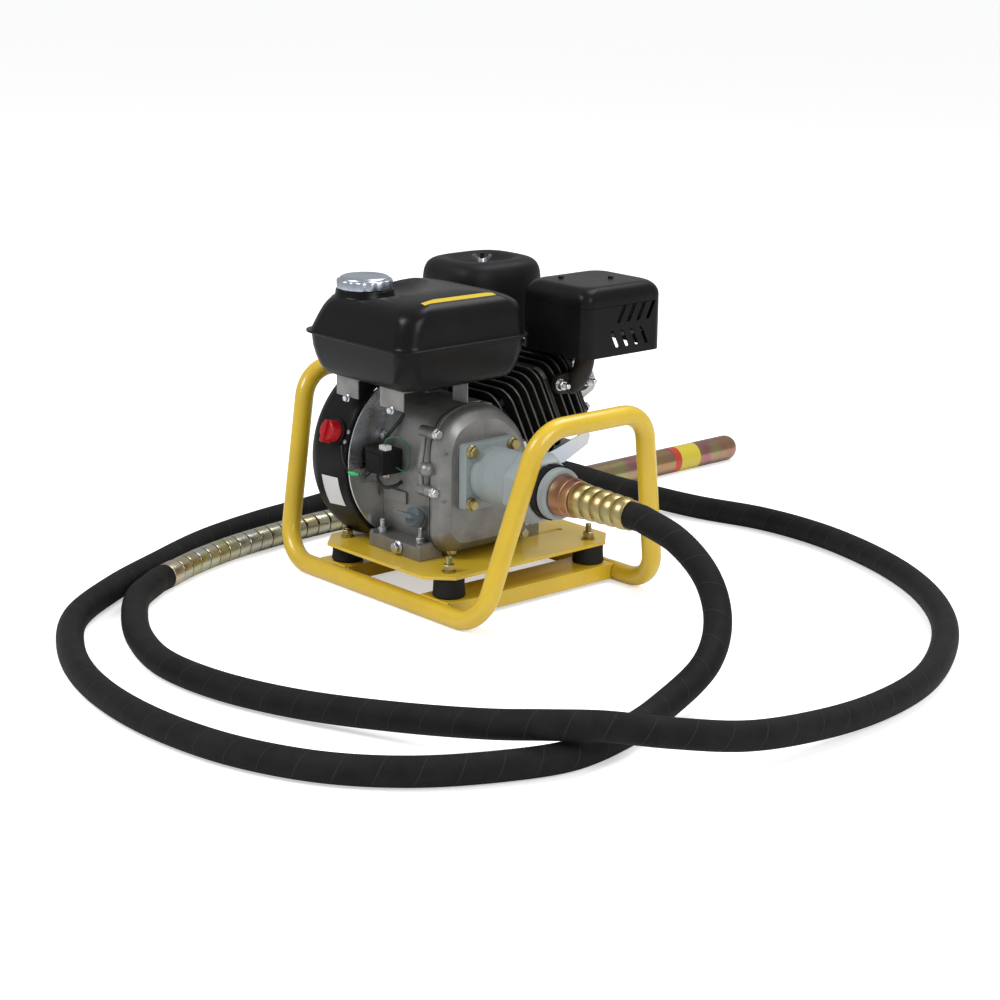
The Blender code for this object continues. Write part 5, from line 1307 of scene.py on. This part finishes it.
# ---------------------------------------------------------------- small engine fittings
def make_fittings():
    axis = Vector((0, -0.94, 0.34)).normalized()
    seat = bench(0.0225, -0.0955, 0.1) + axis * 0.0035
    first, second, along = square_to(axis)
    plug = turned(seat, axis, [(0, 0.0106), (0.0005, 0.011), (0.0045, 0.0118), (0.011, 0.012),
            (0.0118, 0.0112)], 48)

    def bar(h, half_long, half_wide):
        rim = rounded_rectangle(-half_long, -half_wide, half_long, half_wide, half_wide * 0.6, 4)
        return [seat + first * a + second * b + along * h for a, b in rim]

    grip = lofted([bar(0.009, 0.012, 0.003), bar(0.015, 0.0132, 0.0031), bar(0.025, 0.014, 0.0027),
            bar(0.026, 0.0132, 0.0019)])
    dress(joined(plug, grip), "oil_cap_with_grip", "oil_cap_grey", "oil_filler_cap")
    neck = turned(seat - axis * 0.001, axis, [(-0.01, 0.0135), (-0.001, 0.0128), (0.0006, 0.0122)], 40)
    dress(neck, "oil_filler_neck", "cast_aluminium")

    lowest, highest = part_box("oil_drain_bolt")
    place = Vector((middle("oil_drain_bolt").x, highest.y, middle("oil_drain_bolt").z))
    bolt = placed(flange_bolt, place, -Y, spin=0.2, size=1.2)
    dress(bolt, "drain_screw", "zinc", "oil_drain_bolt")

    lowest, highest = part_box("oil_alert_box")
    box = bevelled(block(lowest, highest), 0.0016, 3)
    lid = bevelled(block(lowest + Vector((0.004, -0.0012, 0.004)),
            Vector((highest.x - 0.004, lowest.y + 0.002, highest.z - 0.004))), 0.0008)
    dress(joined(box, lid), "oil_alert_unit", "black_plastic", "oil_alert_box")
    socket = bevelled(block(Vector((highest.x - 0.014, lowest.y + 0.006, highest.z)),
            Vector((highest.x - 0.001, lowest.y + 0.016, highest.z + 0.006))), 0.0008)
    dress(socket, "alert_connector", "white_plastic")


def make_wiring():
    """Stop-switch lead with its green joint, and the oil sensor's leads beside the alert unit."""
    lowest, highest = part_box("oil_alert_box")
    switch_foot = Vector((-0.06, CRANK.y - 0.1145, CRANK.z + 0.024))
    joint = Vector((-0.05, CRANK.y - 0.112, CRANK.z - 0.008))
    way = Vector((1.0, 0.55, -0.12)).normalized()
    wire([switch_foot, switch_foot.lerp(joint, 0.5) - Y * 0.003, joint], 0.0007, "switch_lead",
            "wire_cover", sides=8)
    plug = turned(joint, way, [(0, 0.0012), (0.001, 0.0024), (0.01, 0.0027), (0.0105, 0.002),
            (0.014, 0.0018)], 24)
    dress(plug, "green_joint", "green_plastic")
    end = joint + way * 0.0135

    def near(ends, *step):
        """A place stepped off from a corner of the alert unit, named by L or H along each axis."""
        return Vector([(lowest if e == "L" else highest)[i] for i, e in enumerate(ends)]) + Vector(step)

    wire([end, end + Vector((0.004, 0.006, -0.003)), near("LLL", 0.004, 0.012, 0.003)], 0.0008,
            "alert_lead", "wire_cover", sides=8)
    top = near("HLH", -0.008, 0.011, 0.005)
    wire([top, top + Z * 0.008 + X * 0.002, top + Vector((0.012, 0.006, 0.012)),
            top + Vector((0.026, 0.012, 0.006)), top + Vector((0.03, 0.014, -0.014)),
            near("HHL", 0.01, -0.004, 0.004), near("HHL", -0.001, -0.01, 0.008)], 0.001,
            "green_sensor_lead", "green_wire")
    wire([near("LLL", 0.01, 0.014, 0.001), near("LLL", 0.008, 0.014, -0.01),
            near("LLL", 0.018, 0.016, -0.019), near("LHL", 0.03, -0.006, -0.016),
            near("LHL", 0.032, 0.001, -0.012)], 0.0021, "black_sensor_lead", "wire_cover")
    wire([near("LHH", 0.012, -0.01, -0.001), near("LHH", 0.012, -0.01, 0.01),
            near("LHH", 0.02, -0.004, 0.022), near("LHH", 0.026, 0.01, 0.04)], 0.0024, "engine_harness",
            "wire_cover")
    bolts = [placed(flange_bolt, bench(x, y, z), -Y, size=0.8) for x, y, z in ((-0.0475, -0.0945, 0.19),
            (-0.044, -0.0945, 0.142))]
    dress(joined(*bolts), "bracket_bolts", "zinc")


make_fittings()
make_wiring()


# ---------------------------------------------------------------- drive coupling
def make_coupling():
    x0 = low("coupling_housing").x
    x1, h = x0 + 0.0135, 0.0407
    rim = rounded_rectangle(CRANK.y - h, CRANK.z - h, CRANK.y + h, CRANK.z + h, 0.0045, 5)
    flange = bevelled(prism(rim, "x", x0, x1), 0.001, 2)
    bell = [(x1 - 0.002, 0.035), (x1 + 0.012, 0.035)]
    for i in range(3):
        near = x1 + 0.0135 + 0.0042 * i
        bell += [(near, 0.035), (near + 0.0004, 0.0345), (near + 0.0011, 0.0345), (near + 0.0015, 0.035)]
    bell += [(0.1505, 0.0346), (0.1512, 0.0335)]
    bell = turned(crank(0), X, bell, 72)
    eight = [(0.15, 0.0385), (0.1512, 0.0402), (0.1545, 0.0422), (0.176, 0.0422), (0.186, 0.0375),
            (0.1895, 0.0352), (0.19, 0.034)]
    turn = pi / 8
    rings = [[crank(x, r * cos(turn + tau * i / 8) / cos(pi / 8) * 0.96,
            r * sin(turn + tau * i / 8) / cos(pi / 8) * 0.96) for i in range(8)] for x, r in eight]
    collar = bevelled(lofted(rings), 0.0012, 3, 25)
    dress(joined(flange, bell, collar), "drive_housing", "grey_paint", "coupling_housing")
    for i in range(1, 5):
        name = f"flange_bolt_{i}"
        place = Vector((low(name).x, middle(name).y, middle(name).z))
        dress(placed(flange_bolt, place, X, spin=0.25 * i, size=1.18), f"housing_bolt_{i}", "gold_zinc",
                name)

    def notch(angle):
        return -0.0007 if int(angle / tau * 48) % 2 else 0.0

    lock = turned(crank(0), X, [(0.1905, 0.0318), (0.1908, 0.0332), (0.2012, 0.0332), (0.2015, 0.0318)], 96,
            wave=notch)
    dress(lock, "notched_lock_ring", "black_plastic", "lock_ring", weighted=False, smooth=30)
    socket = turned(crank(0), X, [(0.201, 0.0238), (0.202, 0.0238), (0.202, 0.0304), (0.2026, 0.031),
            (0.2092, 0.031), (0.2106, 0.0306), (0.212, 0.0294), (0.2125, 0.028), (0.2125, 0.0252),
            (0.211, 0.0244), (0.21, 0.024)], 72)
    dress(socket, "grey_socket_ring", "grey_paint", "hose_socket")


make_coupling()
for master in masters:
    bpy.data.objects.remove(master)


# ---------------------------------------------------------------- pieces inside keep their solids
INNER = {"crankshaft": "steel", "flywheel": "cast_aluminium", "clutch_drum": "steel",
        "air_filter_element": "foam", "muffler_body": "cast_iron", "poker_rotor": "steel"}
for name, finish_name in INNER.items():
    solid = frame["nodes"][name]
    solid.data.materials.clear()
    solid.data.materials.append(FINISHES[finish_name])


# ---------------------------------------------------------------- studio
SKY_LIGHT = 0.5                                       # how brightly the backdrop lights the pieces
FLOOR_GLOW = 0.5                                      # keeps the floor near white under the soft light


def make_studio():
    bpy.ops.object.select_all(action="DESELECT")
    bpy.ops.mesh.primitive_plane_add(size=120.0, location=(0, 0, 0))
    floor = bpy.context.object
    floor.name = "floor"
    tree, shader = start_finish("pale_floor", specular=0.1)
    soft = node(tree, "TexNoise", {"Vector": place_of(tree), "Scale": 2.0})
    tree.links.new(blend(tree, soft.outputs[0], colour(0.9, 0.9, 0.9), colour(0.93, 0.93, 0.93)),
            shader.inputs["Base Color"])
    shader.inputs["Roughness"].default_value = 0.9
    shader.inputs["Emission Color"].default_value = colour(1.0, 1.0, 1.0)
    seen = node(tree, "LightPath").outputs["Is Camera Ray"]
    tree.links.new(maths(tree, "MULTIPLY", seen, FLOOR_GLOW), shader.inputs["Emission Strength"])
    floor.data.materials.append(FINISHES["pale_floor"])

    world = bpy.data.worlds.new("studio")
    world.use_nodes = True
    sky = world.node_tree.nodes["Background"]
    sky.inputs[0].default_value = colour(0.99, 0.995, 1.0)
    seen = node(world.node_tree, "LightPath").outputs["Is Camera Ray"]
    world.node_tree.links.new(maths(world.node_tree, "MULTIPLY_ADD", seen, 1.0 - SKY_LIGHT, SKY_LIGHT),
            sky.inputs[1])
    bpy.context.scene.world = world
    for name, place, target, size, power in (("key", (-0.6, -2.6, 2.6), (0, 0, 0.1), 1.2, 62),
            ("fill", (2.6, -0.2, 1.5), (0, 0, 0.1), 1.2, 30), ("top", (0.2, 1.2, 2.6), (0, 0, 0.2), 1.4,
            38)):
        light = bpy.data.objects.new(name, bpy.data.lights.new(name, "AREA"))
        light.data.energy, light.data.size = power, size
        light.location = place
        light.rotation_euler = (Vector(place) - Vector(target)).to_track_quat("Z", "Y").to_euler()
        bpy.context.scene.collection.objects.link(light)
    bpy.context.scene.view_settings.view_transform = "Standard"


make_studio()
